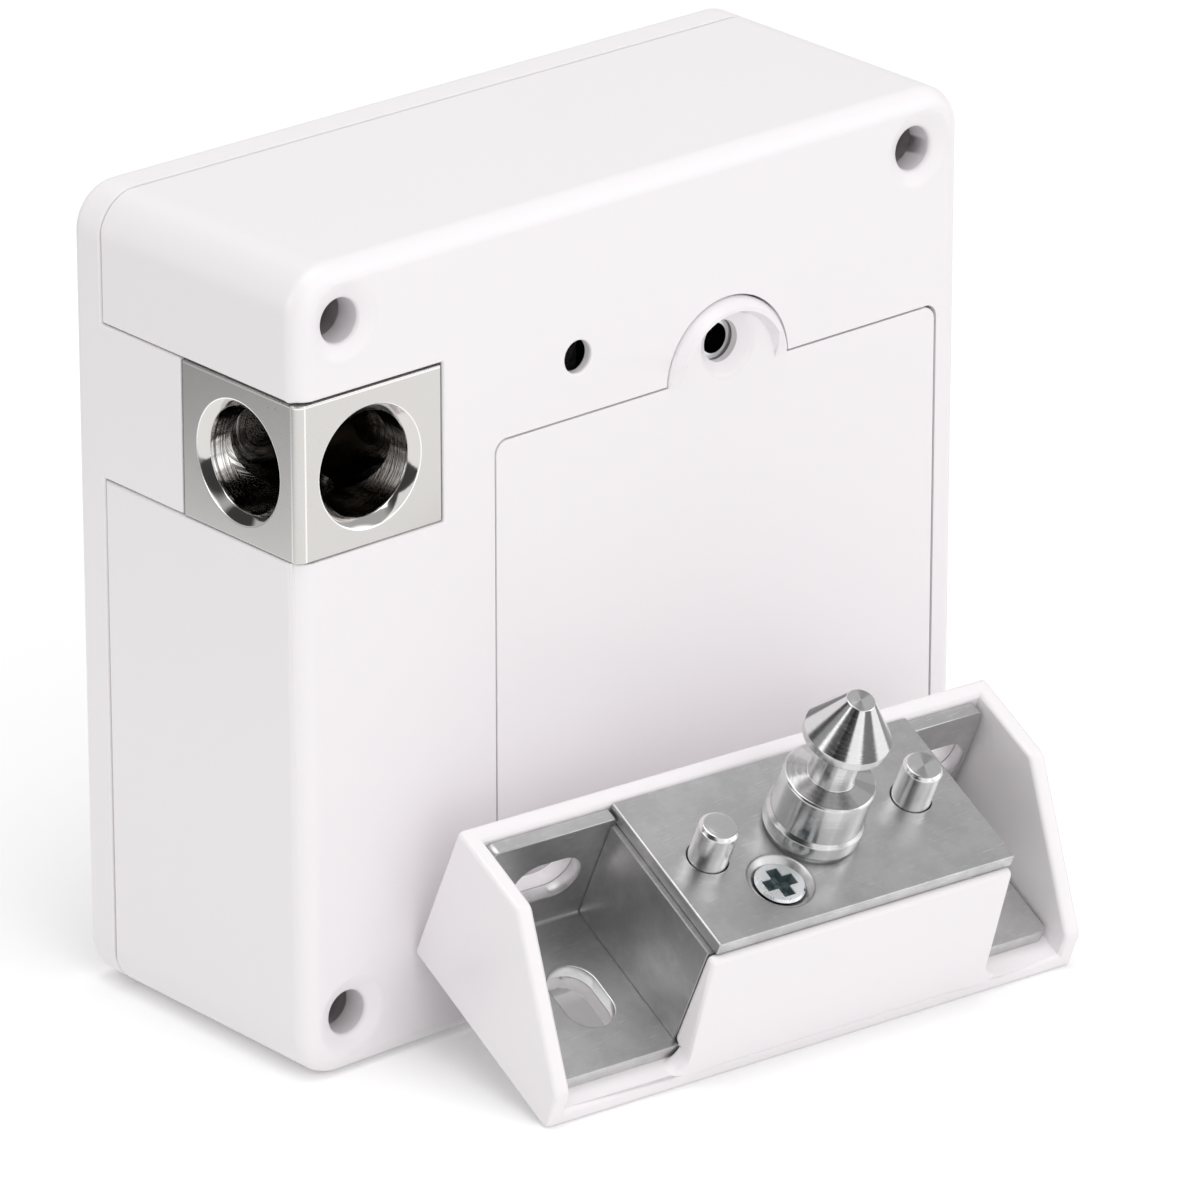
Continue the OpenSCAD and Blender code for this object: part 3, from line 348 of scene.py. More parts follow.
@cache
def turning_group():
    """Tool marks of a lathe or a drill round an axis.

    It puts out their height, broad and fine, masks of fans and wedges round the axis that are used for
    painted reflections, and how far a point lies from the axis and along it.
    """
    work, given, out = shader_group(
        "Turning marks",
        [
            ("Axis Point", VECTOR),
            ("Axis", VECTOR),
            ("Scale", FLOAT, 4000.0),
            ("Slope", FLOAT, 0.8),
            ("Fan Turn", FLOAT, 0.0),
        ],
        ["Height", "Broad", "Fan", "Wedge", "Distance", "Along"],
    )
    axis = given["Axis"]
    offset = work.vector("SUBTRACT", given["Coordinates"], given["Axis Point"])
    along = work.vector("DOT_PRODUCT", offset, axis, out=1)
    on_axis = work.add("ShaderNodeVectorMath", {0: axis, "Scale": along}, operation="SCALE")
    distance = work.vector("LENGTH", work.vector("SUBTRACT", offset, on_axis.outputs[0]), out=1)
    place = work.minus(along, work.times(distance, given["Slope"]))
    marks = []
    for factor, detail in ((1.0, 3.0), (0.22, 2.0)):
        scale = work.times(given["Scale"], factor)
        made = work.add(
            "ShaderNodeTexNoise",
            {"W": place, "Scale": scale, "Detail": detail},
            noise_dimensions="1D",
        )
        marks.append(made.outputs[0])
    # Fan and Wedge are masks for painted reflections: sectors round the axis that a material darkens.
    side = work.vector("NORMALIZE", work.vector("CROSS_PRODUCT", axis, (0.36, 0.48, 0.80)))
    other = work.vector("CROSS_PRODUCT", axis, side)
    across = [work.vector("DOT_PRODUCT", offset, way, out=1) for way in (side, other)]
    angle = work.minus(work.math("ARCTAN2", *across), given["Fan Turn"])
    uneven = work.times(work.math("SINE", work.times(angle, 3.0)), 0.6)
    wave = work.math("COSINE", work.plus(work.times(angle, 8.0), uneven))
    ragged = work.times(work.minus(marks[0], 0.5), 1.6)
    halves = work.math("COSINE", work.times(angle, 2.0))
    for label, value in (
        ("Fan", work.spread(work.plus(wave, ragged), -0.35, 0.45, smooth=True)),
        ("Wedge", work.spread(halves, 0.2, 1.0, smooth=True)),
        ("Height", marks[0]),
        ("Broad", marks[1]),
        ("Distance", distance),
        ("Along", along),
    ):
        work.feed(out[label], value)
    return work.tree


def use_group(work, tree, place, **inputs):
    """Puts a group in a material: the outputs of its node. An input's name has _ for a space."""
    made = work.add("ShaderNodeGroup", node_tree=tree)
    work.feed(made.inputs["Coordinates"], place)
    for key, value in inputs.items():
        work.feed(made.inputs[key.replace("_", " ")], value)
    return made.outputs


def toned(colour_of, *shares):
    """A colour times one share, or times a share for each of red, green and blue."""
    shares = shares * 3 if len(shares) == 1 else shares
    return tuple(min(1.0, value * share) for value, share in zip(colour_of, shares))


def new_material(name, base, metallic, roughness):
    """A material: itself, its Shading, its Principled shader and its Object coordinates."""
    made = bpy.data.materials.new(name)
    made.use_nodes = True
    work = Shading(made.node_tree)
    work.nodes.clear()
    shader = work.add(
        "ShaderNodeBsdfPrincipled",
        {"Base Color": (*base, 1), "Metallic": metallic, "Roughness": roughness},
    )
    work.add("ShaderNodeOutputMaterial", {"Surface": shader.outputs[0]})
    return made, work, shader, work.add("ShaderNodeTexCoord").outputs["Object"]


def add_bump(work, shader, height, strength, distance):
    """Turns a height into the shader's normal."""
    bump = work.add("ShaderNodeBump", {"Strength": strength, "Distance": distance, "Height": height})
    work.feed(shader.inputs["Normal"], bump.outputs[0])


def shifted(work, value, shift):
    """A roughness moved up or down, kept between 0 and 1."""
    return work.math("ADD", value, shift, clamp=True)


def moulded(name, base, roughness=0.34, painted_depth_shade=False):
    """White or coloured moulded plastic. A deep one gets painted shade in its colour, darker away from the
    front, inside its rim.
    """
    made, work, shader, place = new_material(name, base, 0.0, roughness)
    grain = use_group(work, grain_group(), place, Scale=2600.0, Shift=0.10)
    dust = use_group(work, dust_group(), place, Scale=420.0, Cut=0.755)
    work.feed(shader.inputs["Roughness"], shifted(work, roughness, grain["Shift"]))
    tint = work.mix(work.times(dust["Mask"], 0.25), base, toned(base, 0.93))
    if painted_depth_shade:
        # Painted shade: inside the rim the colour darkens away from the front, standing in for the shade down
        # the housing's holes and bays.
        parts = work.add("ShaderNodeSeparateXYZ", {"Vector": place}).outputs
        depth = work.spread(parts["Y"], (FRONT_Y + 1.8) * MM, (FRONT_Y + 8) * MM, smooth=True)
        across = work.math("COMPARE", parts["X"], 0.0, 37 * MM)
        upright = work.math("COMPARE", parts["Z"], BODY_HEIGHT / 2 * MM, 36 * MM)
        depth = work.times(depth, work.times(across, upright))
        tint = work.mix(depth, tint, toned(base, 0.22, 0.19, 0.19))
    work.feed(shader.inputs["Base Color"], tint)
    add_bump(work, shader, grain["Height"], 0.25, 0.00001)
    return made


def sheet_metal(name, base, roughness):
    """Plated sheet with a faint mottle and fine scratches in all directions."""
    made, work, shader, place = new_material(name, base, 1.0, roughness)
    grain = use_group(work, grain_group(), place, Scale=5200.0, Shift=0.10)
    scratch = use_group(work, scratch_group(), place, Scale=5200.0, Cut=0.64)["Mask"]
    mottle = work.spread(work.noise(place, 210.0, 4.0, 0.62), 0.38, 0.62, smooth=True)
    tint = work.mix(mottle, base, toned(base, 0.84))
    tint = work.mix(work.times(scratch, 0.5), tint, toned(base, 1.45))
    work.feed(shader.inputs["Base Color"], tint)
    rough = shifted(work, roughness, grain["Shift"])
    rough = shifted(work, rough, work.times(mottle, 0.06))
    work.feed(shader.inputs["Roughness"], rough)
    height = work.minus(grain["Height"], work.times(scratch, 0.6))
    add_bump(work, shader, height, 0.06, 0.000012)
    return made


def turned_metal(name, base, roughness, at, axis, scale=15000.0, fan_from=None, top=None, bore=None):
    """Turned metal with tool marks round an axis.

    Above fan_from its colour has painted reflections, dark fans between bright ones, and below it has weaker
    fans and a slight painted darkening; on the flat at top it has two painted dark wedges, and inside the
    radius bore it has painted shade. All three are in millimetres.
    """
    made, work, shader, place = new_material(name, base, 1.0, roughness)
    marks = use_group(
        work,
        turning_group(),
        place,
        Axis_Point=metres(at),
        Axis=tuple(axis),
        Scale=scale,
        Fan_Turn=0.454,
    )
    # Painted reflections: the colour is darkened in fans round the axis, a little below fan_from, and in
    # wedges on the top flat.
    painted_shade_and_reflection = 0.0
    if fan_from is not None:
        upper = work.math("GREATER_THAN", marks["Along"], fan_from * MM)
        share = work.plus(0.32, work.times(upper, 0.58))
        least = work.times(work.invert(upper), 0.14)
        painted_shade_and_reflection = work.math("MAXIMUM", work.times(marks["Fan"], share), least)
    if top is not None:
        flat = work.math("GREATER_THAN", marks["Along"], (top - 0.06) * MM)
        wedge = work.times(work.times(marks["Wedge"], flat), 0.4)
        painted_shade_and_reflection = work.times(painted_shade_and_reflection, work.invert(flat))
        painted_shade_and_reflection = work.math("MAXIMUM", painted_shade_and_reflection, wedge)
    # Painted shade inside the bore.
    if bore is not None:
        inner = work.math("LESS_THAN", marks["Distance"], bore * MM)
        painted_shade_and_reflection = work.math("MAXIMUM", painted_shade_and_reflection, work.times(inner, 0.97))
    work.feed(shader.inputs["Base Color"], work.mix(painted_shade_and_reflection, base, toned(base, 0.12)))
    grain = use_group(work, grain_group(), place, Scale=1500.0, Shift=0.08)
    rough = shifted(work, roughness, grain["Shift"])
    rough = shifted(work, rough, work.spread(marks["Broad"], 0.35, 0.65, -0.05, 0.07))
    work.feed(shader.inputs["Roughness"], rough)
    add_bump(work, shader, marks["Height"], 0.8, 0.00001)
    return made


def recessed_head(name, base, at, axis, reach):
    """Bright plated screw head whose recess, a little below the top and within the reach, has painted shade
    in its colour.
    """
    made, work, shader, place = new_material(name, base, 0.55, 0.3)
    marks = use_group(work, turning_group(), place, Axis_Point=metres(at), Axis=tuple(axis))
    grain = use_group(work, grain_group(), place, Scale=2600.0, Shift=0.16)
    # Painted shade: darker a little below the head's top, within the reach.
    sunk = work.spread(marks["Along"], -0.16 * MM, -0.06 * MM, 1.0, 0.0)
    sunk = work.times(sunk, work.math("LESS_THAN", marks["Distance"], reach * MM))
    work.feed(shader.inputs["Base Color"], work.mix(sunk, base, toned(base, 0.13, 0.17, 0.175)))
    work.feed(shader.inputs["Roughness"], shifted(work, 0.3, grain["Shift"]))
    add_bump(work, shader, grain["Height"], 0.15, 0.00001)
    return made


def plated_block(name, base):
    """Plated zinc block: smooth outside, bright drilled ports with painted shade that gets dark with depth.
    """
    made, work, shader, place = new_material(name, base, 1.0, 0.2)
    parts = work.add("ShaderNodeSeparateXYZ", {"Vector": place}).outputs
    depths = [work.minus(parts["Y"], FRONT_Y * MM), work.minus(parts["X"], LEFT_X * MM)]
    heights, inside, drilled, painted_highlights = [], [], [], []
    for point, axis, depth in zip((FRONT_PORT, SIDE_PORT), ((0, 1, 0), (1, 0, 0)), depths):
        port = use_group(
            work,
            turning_group(),
            place,
            Axis_Point=metres(point),
            Axis=axis,
            Scale=3600.0,
            Slope=0.6,
        )
        heights.append(port["Height"])
        inside.append(work.math("LESS_THAN", port["Distance"], PORT_MOUTH_R * MM))
        drilled.append(work.math("LESS_THAN", port["Distance"], (PORT_R + 0.06) * MM))
        # Painted highlights: a bright ring at each port's mouth, a line 0.86 mm behind the front and left
        # faces, and one along the top edge.
        mouth = work.math("COMPARE", port["Distance"], (PORT_MOUTH_R + 0.04) * MM, 0.07 * MM)
        painted_highlights.append(work.times(mouth, work.math("LESS_THAN", depth, 0.12 * MM)))
        painted_highlights.append(work.math("COMPARE", depth, 0.86 * MM, 0.09 * MM))
    painted_highlights.append(work.math("COMPARE", parts["Z"], (BLOCK_TOP - 0.2) * MM, 0.07 * MM))
    in_ports, in_bores = work.highest(inside), work.highest(drilled)
    outside = work.invert(in_ports)
    # Painted shade along the block's right and back edges, where it meets the housing.
    seam_shade = work.math(
        "MAXIMUM",
        work.math("GREATER_THAN", parts["X"], (BLOCK_RIGHT - 0.18) * MM),
        work.math("GREATER_THAN", parts["Y"], (BLOCK_BACK - 0.18) * MM),
    )
    height = work.mix(inside[0], heights[1], heights[0])
    grain = use_group(work, grain_group(), place, Scale=700.0, Shift=0.08)
    dust = use_group(work, dust_group(), place, Scale=330.0, Cut=0.71)
    outer = shifted(work, 0.26, grain["Shift"])
    rough = work.add("ShaderNodeMix", {"Factor": in_ports, "A": outer, "B": 0.1})
    work.feed(shader.inputs["Roughness"], rough.outputs[0])
    # Painted shade in the bores' tool grooves, in the same dark tone as along the seams.
    groove_shade = work.times(work.spread(height, 0.52, 0.6, smooth=True), in_bores)
    groove_and_seam_shade = toned(base, 0.25)
    depth = work.times(work.math("MINIMUM", *depths), in_ports)
    tint = work.mix(work.times(dust["Mask"], outside), base, toned(base, 0.45))
    tint = work.mix(work.times(groove_shade, 0.85), tint, groove_and_seam_shade)
    # Painted highlights on the block's edges and port mouths, clear of the ports.
    tint = work.mix(work.times(work.highest(painted_highlights), outside), tint, (0.97, 0.96, 0.95))
    # Painted shade along the seams with the housing.
    tint = work.mix(work.times(seam_shade, 0.95), tint, groove_and_seam_shade)
    # Painted shade: the ports get darker with depth.
    painted_port_shade = work.spread(depth, 4.5 * MM, 9.5 * MM, smooth=True)
    tint = work.mix(painted_port_shade, tint, toned(base, 0.13, 0.115, 0.1))
    work.feed(shader.inputs["Base Color"], tint)
    marks = work.times(height, in_bores)
    smooth = work.times(grain["Height"], 0.15)
    add_bump(work, shader, work.plus(marks, smooth), 0.9, 0.00003)
    return made


def board_finish(name, base):
    """Solder resist over a board's tracks."""
    made, work, shader, place = new_material(name, base, 0.0, 0.4)
    tracks = work.add("ShaderNodeTexBrick", {"Vector": place, "Scale": 260.0}).outputs["Fac"]
    lighter = tuple(min(1.0, value * 1.9 + 0.01) for value in base)
    grain = use_group(work, grain_group(), place, Scale=800.0, Shift=0.1)
    work.feed(shader.inputs["Base Color"], work.mix(tracks, base, lighter))
    work.feed(shader.inputs["Roughness"], shifted(work, 0.4, grain["Shift"]))
    add_bump(work, shader, tracks, 0.3, 0.00003)
    return made


# Mesh helpers


def link(data, name):
    """A new object in the scene."""
    made = bpy.data.objects.new(name, data)
    bpy.context.scene.collection.objects.link(made)
    return made


def settle(obj, material=None):
    """Applies the object's modifiers and keeps one plain mesh."""
    graph = bpy.context.evaluated_depsgraph_get()
    mesh = bpy.data.meshes.new_from_object(obj.evaluated_get(graph), depsgraph=graph)
    obj.modifiers.clear()
    obj.data = mesh
    mesh.name = obj.name
    if material is not None:
        mesh.materials.clear()
        mesh.materials.append(material)
    return obj


def shade(obj, angle=32):
    """Smooth shading with sharp edges kept, and flat faces kept flat."""
    obj.data.shade_smooth()
    obj.data.set_sharp_from_angle(angle=math.radians(angle))
    weigh = obj.modifiers.new("Even shading", "WEIGHTED_NORMAL")
    weigh.keep_sharp = True
    weigh.weight = 80
    return settle(obj)


def clean_copy(node, name):
    """A merged copy of a CAD node's mesh, with its flat faces whole."""
    work = bmesh.new()
    work.from_mesh(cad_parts[node].data)
    bmesh.ops.remove_doubles(work, verts=work.verts, dist=1e-6)
    bmesh.ops.dissolve_limit(
        work, angle_limit=math.radians(0.4), verts=work.verts, edges=work.edges, delimit=set()
    )
    mesh = bpy.data.meshes.new(name)
    work.to_mesh(mesh)
    work.free()
    mesh.materials.clear()
    return link(mesh, name)


def eased(node, name, body, edge, material, slot, chosen=None):
    """A CAD node's own form with its sharp edges rounded, in place of the node.

    chosen, when given, says of a point in millimetres whether an edge that ends there may be rounded.
    """
    made = clean_copy(node, name)
    work = bmesh.new()
    work.from_mesh(made.data)
    weight = work.edges.layers.float.new("bevel_weight_edge")
    for line in work.edges:
        sharp = line.is_convex and line.calc_face_angle(0) > math.radians(EASED_ANGLE)
        if sharp and (chosen is None or all(chosen(end.co / MM) for end in line.verts)):
            line[weight] = 1.0
    work.to_mesh(made.data)
    work.free()
    ease = made.modifiers.new("Eased edges", "BEVEL")
    ease.width = edge
    ease.segments = EASED_STEPS
    ease.limit_method = "WEIGHT"
    ease.use_clamp_overlap = False
    ease.miter_outer = "MITER_ARC"
    settle(made, material)
    shade(made)
    return hand_over(made, body, slot, node)


def hand_over(obj, body, slot, *nodes):
    """Ties a finished piece to its body and hides the CAD nodes that it stands for; its slot is not used."""
    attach(obj, body)
    if nodes:
        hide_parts(*nodes)
    return obj


def finish_node(node, material):
    """Gives a CAD node that is shown as it is its finish."""
    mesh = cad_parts[node].data
    mesh.materials.clear()
    mesh.materials.append(material)


# Geometry Nodes


class Growing(Shading):
    """A Geometry Nodes tree under construction, with inputs of its own, a turn and a material."""

    def __init__(self, name, inputs):
        tree = bpy.data.node_groups.new(name, "GeometryNodeTree")
        super().__init__(tree)
        always = [("Rotation", ROTATION), ("Material", MATERIAL)]
        add_sockets(tree, "INPUT", [("Geometry", GEOMETRY), *inputs, *always])
        add_sockets(tree, "OUTPUT", [("Geometry", GEOMETRY)])
        self.given = self.add("NodeGroupInput").outputs
        self.result = self.add("NodeGroupOutput").inputs[0]

    def move(self, geometry, **inputs):
        """Moves, turns or scales a geometry."""
        return self.add("GeometryNodeTransform", {"Geometry": geometry, **inputs}).outputs[0]

    def up(self, height):
        """A vector that points up, of a given height."""
        return self.add("ShaderNodeCombineXYZ", {"Z": height}).outputs[0]

    def stand(self, geometry):
        """Puts a copy of a geometry on each of the input's points, turned as the tree's input says."""
        spread = self.add(
            "GeometryNodeInstanceOnPoints",
            {"Points": self.given["Geometry"], "Instance": geometry, "Rotation": self.given["Rotation"]},
        )
        return self.close(spread.outputs[0])

    def close(self, geometry):
        """Ends the tree in Realize Instances and Set Material."""
        real = self.add("GeometryNodeRealizeInstances", {"Geometry": geometry})
        painted = self.add(
            "GeometryNodeSetMaterial", {"Geometry": real.outputs[0], "Material": self.given["Material"]}
        )
        self.feed(self.result, painted.outputs[0])
        return self.tree


@cache
def turned_tree():
    """Turns the input's points, (radius, 0, height) in order, round the Z axis."""
    grow = Growing("Turned part", [("Sides", COUNT, 96), ("Place", VECTOR)])
    rows = grow.add("GeometryNodeAttributeDomainSize", {"Geometry": grow.given["Geometry"]})
    rows = rows.outputs["Point Count"]
    columns = grow.plus(grow.given["Sides"], 1)
    grid = grow.add("GeometryNodeMeshGrid", {"Vertices X": columns, "Vertices Y": rows})
    index = grow.add("GeometryNodeInputIndex").outputs[0]
    row = grow.math("MODULO", index, rows)
    column = grow.math("FLOOR", grow.math("DIVIDE", index, rows))
    angle = grow.math("DIVIDE", grow.times(column, 2 * math.pi), grow.given["Sides"])
    place = grow.add("GeometryNodeInputPosition").outputs[0]
    sample = grow.add(
        "GeometryNodeSampleIndex",
        {"Geometry": grow.given["Geometry"], "Value": place, "Index": row},
        data_type="FLOAT_VECTOR",
    )
    parts = grow.add("ShaderNodeSeparateXYZ", {"Vector": sample.outputs[0]})
    radius = parts.outputs["X"]
    turned = grow.add("ShaderNodeCombineXYZ", {"Z": parts.outputs["Z"]})
    grow.feed(turned.inputs["X"], grow.times(radius, grow.math("COSINE", angle)))
    grow.feed(turned.inputs["Y"], grow.times(radius, grow.math("SINE", angle)))
    moved = grow.add(
        "GeometryNodeSetPosition", {"Geometry": grid.outputs["Mesh"], "Position": turned.outputs[0]}
    )
    merged = grow.add("GeometryNodeMergeByDistance", {"Geometry": moved.outputs[0], "Distance": 1e-6})
    put = grow.move(merged.outputs[0], Translation=grow.given["Place"], Rotation=grow.given["Rotation"])
    return grow.close(put)


@cache
def coil_tree():
    """A wound spring that stands on each of the input's points."""
    grow = Growing(
        "Wound spring",
        [
            ("Foot Radius", FLOAT, 0.0017),
            ("Top Radius", FLOAT, 0.0017),
            ("Height", FLOAT, 0.008),
            ("Turns", FLOAT, 7.0),
            ("Wire", FLOAT, 0.0005),
        ],
    )
    given = grow.given
    half = grow.times(given["Wire"], 0.5)
    spiral = grow.add(
        "GeometryNodeCurveSpiral",
        {
            "Resolution": 24,
            "Rotations": given["Turns"],
            "Start Radius": given["Foot Radius"],
            "End Radius": given["Top Radius"],
            "Height": grow.minus(given["Height"], given["Wire"]),
        },
    )
    section = grow.add("GeometryNodeCurvePrimitiveCircle", {"Resolution": 8, "Radius": half})
    wound = grow.add(
        "GeometryNodeCurveToMesh",
        {"Curve": spiral.outputs[0], "Profile Curve": section.outputs[0], "Fill Caps": True},
    )
    return grow.stand(grow.move(wound.outputs[0], Translation=grow.up(half)))


@cache
def screw_tree():
    """A screw with a cross recess on each of the input's points, its head's top at the point."""
    grow = Growing(
        "Cross-recess screw",
        [
            ("Head Radius", FLOAT, 0.002),
            ("Under Head Radius", FLOAT, 0.002),
            ("Head Height", FLOAT, 0.0014),
            ("Shank Radius", FLOAT, 0.0011),
            ("Length", FLOAT, 0.012),
            ("Recess Width", FLOAT, 0.0006),
            ("Recess Length", FLOAT, 0.0024),
            ("Edge", FLOAT, 0.0002),
            ("Sides", COUNT, 48),
        ],
    )
    given = grow.given

    def cone(top, bottom, height, upper_end):
        """A cone, or a cylinder, between two radii below its upper end."""
        made = grow.add(
            "GeometryNodeMeshCone",
            {"Vertices": given["Sides"], "Radius Top": top, "Radius Bottom": bottom, "Depth": height},
        )
        foot = grow.minus(upper_end, height)
        return grow.move(made.outputs["Mesh"], Translation=grow.up(foot))

    def arm(length_share, width_share, turn):
        """One bar of the cross, which narrows towards the tip of the driver."""
        made = grow.add(
            "GeometryNodeMeshCone",
            {
                "Vertices": 4,
                "Radius Top": 0.86,
                "Radius Bottom": 0.5,
                "Depth": grow.times(height, 1.6),
            },
        )
        square = grow.move(made.outputs["Mesh"], Rotation=(0, 0, math.pi / 4))
        size = grow.add("ShaderNodeCombineXYZ", {"Z": 1.0})
        grow.feed(size.inputs["X"], grow.times(given["Recess Length"], length_share))
        grow.feed(size.inputs["Y"], grow.times(given["Recess Width"], width_share))
        bar = grow.move(square, Scale=size.outputs[0])
        sunk = grow.up(grow.times(height, -0.75))
        return grow.move(bar, Rotation=(0, 0, turn), Translation=sunk)

    edge, height, radius = given["Edge"], given["Head Height"], given["Head Radius"]
    overlap = 1e-6
    crown = cone(grow.minus(radius, edge), radius, edge, 0.0)
    head = cone(
        radius,
        given["Under Head Radius"],
        grow.minus(height, edge),
        grow.plus(grow.times(edge, -1.0), overlap),
    )
    start = grow.times(height, -0.6)
    shank_radius = given["Shank Radius"]
    shank = cone(shank_radius, shank_radius, grow.plus(given["Length"], start), start)
    whole = grow.add("GeometryNodeMeshBoolean", operation="UNION", solver="EXACT")
    for piece in (crown, head, shank):
        grow.links.new(piece, whole.inputs["Mesh 2"])
    recessed = grow.add("GeometryNodeMeshBoolean", operation="DIFFERENCE", solver="EXACT")
    grow.links.new(whole.outputs[0], recessed.inputs["Mesh 1"])
    quarter = math.pi / 2
    for length_share, width_share, turn in (
        (1.0, 1.0, 0.0),
        (1.0, 1.0, quarter),
        (0.55, 0.7, quarter / 2),
        (0.55, 0.7, -quarter / 2),
    ):
        grow.links.new(arm(length_share, width_share, turn), recessed.inputs["Mesh 2"])
    return grow.stand(recessed.outputs[0])


def grown(name, tree, points, values, material):
    """Runs a Geometry Nodes tree on points, in metres, and keeps its result as one plain mesh."""
    mesh = bpy.data.meshes.new(name)
    mesh.from_pydata(points, [], [])
    made = link(mesh, name)
    grow = made.modifiers.new(tree.name, "NODES")
    grow.node_group = tree
    values = {**values, "Material": material}
    for item in tree.interface.items_tree:
        if item.item_type == "SOCKET" and item.in_out == "INPUT" and item.name in values:
            grow[item.identifier] = values[item.name]
    settle(made, material)
    work = bmesh.new()
    work.from_mesh(made.data)
    if not work.faces:
        raise RuntimeError(f"{name} came out empty")
    bmesh.ops.remove_doubles(work, verts=work.verts, dist=1e-7)
    bmesh.ops.recalc_face_normals(work, faces=work.faces)
    work.to_mesh(made.data)
    work.free()
    return made


# Finishes


@cache
def finishes():
    """Every finish, by name."""
    colours = bpy.context.scene.lock_colours
    bright, head = colours.bright, colours.screw_face
    up, back = STRIKE_UP, (0, 1, 0)
    made = dict(
        housing=moulded("Housing plastic", colours.plastic, painted_depth_shade=True),
        cover=moulded("Cover plastic", colours.plastic, 0.31),
        shell=moulded("Striker cover plastic", colours.plastic, 0.30),
        block=plated_block("Plated port block", colours.nickel),
        plate=sheet_metal("Satin plate steel", toned(colours.satin, 0.98), 0.3),
        bracket=sheet_metal("Satin bracket steel", toned(colours.satin, 1.08), 0.3),
        # The striker block's satin steel is a darker copy, painted shade for the block standing in the
        # bracket's shaded bays.
        shaded_block_steel=sheet_metal("Satin block steel, painted darker", toned(colours.satin, 0.74), 0.3),
        zinc=sheet_metal("Zinc screw", colours.zinc, 0.2),
        spring=sheet_metal("Spring wire", bright, 0.3),
        case=sheet_metal("Motor case steel", bright, 0.36),
        stud=turned_metal(
            "Turned stud steel", bright, 0.13, on_strike(STUD_AT), up, fan_from=STUD_CONE, top=STUD_TIP
        ),
        plate_head=recessed_head("Plate screw zinc", head, on_strike(PLATE_SCREW_AT), up, reach=1.95),
        rear_head=recessed_head("Rear screw zinc", head, (0, REAR_SCREW_Y, 0), back, reach=90),
        bolt=turned_metal("Latch bolt steel", bright, 0.22, BOLT_AT, (0, 0, 1)),
        brass=turned_metal("Machined brass", colours.brass, 0.25, PINION_AT, back),
        insert=turned_metal("Insert steel", bright, 0.2, INSERT_AT, back, 9000.0, bore=INSERT_BORE_R),
        board=board_finish("Circuit board", colours.board),
        cell=moulded("Cell sleeve", colours.cell, 0.3),
        black=moulded("Black moulding", colours.black, 0.45),
        wire=moulded("Enamelled wire", colours.wire, 0.3),
        nylon=moulded("Nylon plug", colours.nylon, 0.4),
    )
    for side in PIN_SIDES:
        at = on_pin(side, PLATE_TOP)
        top = PIN_TIP - PLATE_TOP + PLATE_UNDER if side == "right" else None
        made["pin_" + side] = turned_metal(f"Turned {side} pin steel", bright, 0.17, at, up, top=top)
    return made


def from_tab(point):
    """How far a point of the front lies from the middle of the battery cover's tab."""
    return math.hypot(point.x - TAB_AT[0], point.z - TAB_AT[1])


def on_housing_skin(point):
    """Whether a point lies on the housing's outside or a mounting hole's lip, but not on the cover's seam."""
    seam = COVER_LEFT < point.x < COVER_RIGHT and point.z < COVER_TOP or from_tab(point) < TAB_CLEAR_R
    front = point.y < FRONT_Y + 0.9 and not seam
    return abs(point.x) > -LEFT_X - 0.05 or front or not 0.05 < point.z < BODY_HEIGHT - 0.05


def off_tab(point):
    """Whether a point of the battery cover lies clear of its tab, or on the tab's outer edge."""
    on_arc = point.z > 57.5 and abs(from_tab(point) - TAB_R) < 0.05
    return from_tab(point) > TAB_CLEAR_R or on_arc


def off_bend(point):
    """Whether a point of the striker's bracket lies clear of the bend's inner corner."""
    local = STRIKE_TURNING.transposed() @ (point - STRIKE_AT)
    return not (-3.75 < local.y < -2.95 and 2.95 < local.z < 3.75)


class DressMouldings(bpy.types.Operator):
    """Makes the housing and the rear cover with eased edges"""

    bl_idname = "cabinetlock.mouldings"
    bl_label = "Housing and rear cover"

    def execute(self, context):
        sizes, look = context.scene.lock_sizes, finishes()
        eased("housing", "Housing", "lock", sizes.moulding_edge, look["housing"], "case", on_housing_skin)
        eased("rear_cover", "Rear_cover", "lock", sizes.moulding_edge, look["housing"], "rear")
        return {"FINISHED"}


class DressBatteryCover(bpy.types.Operator):
    """Makes the battery cover with its tab"""

    bl_idname = "cabinetlock.battery_cover"
    bl_label = "Battery cover"

    def execute(self, context):
        edge = context.scene.lock_sizes.moulding_edge * 0.6
        eased("battery_cover", "Battery_cover", "battery_lid", edge, finishes()["cover"], "lid", off_tab)
        return {"FINISHED"}


class DressPortBlock(bpy.types.Operator):
    """Makes the plated block with its two ports"""

    bl_idname = "cabinetlock.port_block"
    bl_label = "Port block"

    def execute(self, context):
        edge = context.scene.lock_sizes.block_edge
        eased("lock_block", "Port_block", "lock", edge, finishes()["block"], "nickel_block")
        return {"FINISHED"}


class DressStrikerCover(bpy.types.Operator):
    """Makes the striker's white cover"""

    bl_idname = "cabinetlock.striker_cover"
    bl_label = "Striker cover"

    def execute(self, context):
        edge = context.scene.lock_sizes.striker_edge
        eased("strike_cover", "Striker_cover", "lock", edge, finishes()["shell"], "strike_shell")
        return {"FINISHED"}


class DressStrikerSteel(bpy.types.Operator):
    """Makes the striker's bracket, block and top plate"""

    bl_idname = "cabinetlock.striker_steel"
    bl_label = "Striker steel"

    def execute(self, context):
        edge = context.scene.lock_sizes.sheet_edge
        for node, name, finish, chosen in (
            ("strike_bracket", "Striker_bracket", "bracket", off_bend),
            ("strike_block", "Striker_block", "shaded_block_steel", None),
            ("strike_plate", "Striker_plate", "plate", None),
        ):
            eased(node, name, "lock", edge, finishes()[finish], "satin_steel", chosen)
        return {"FINISHED"}


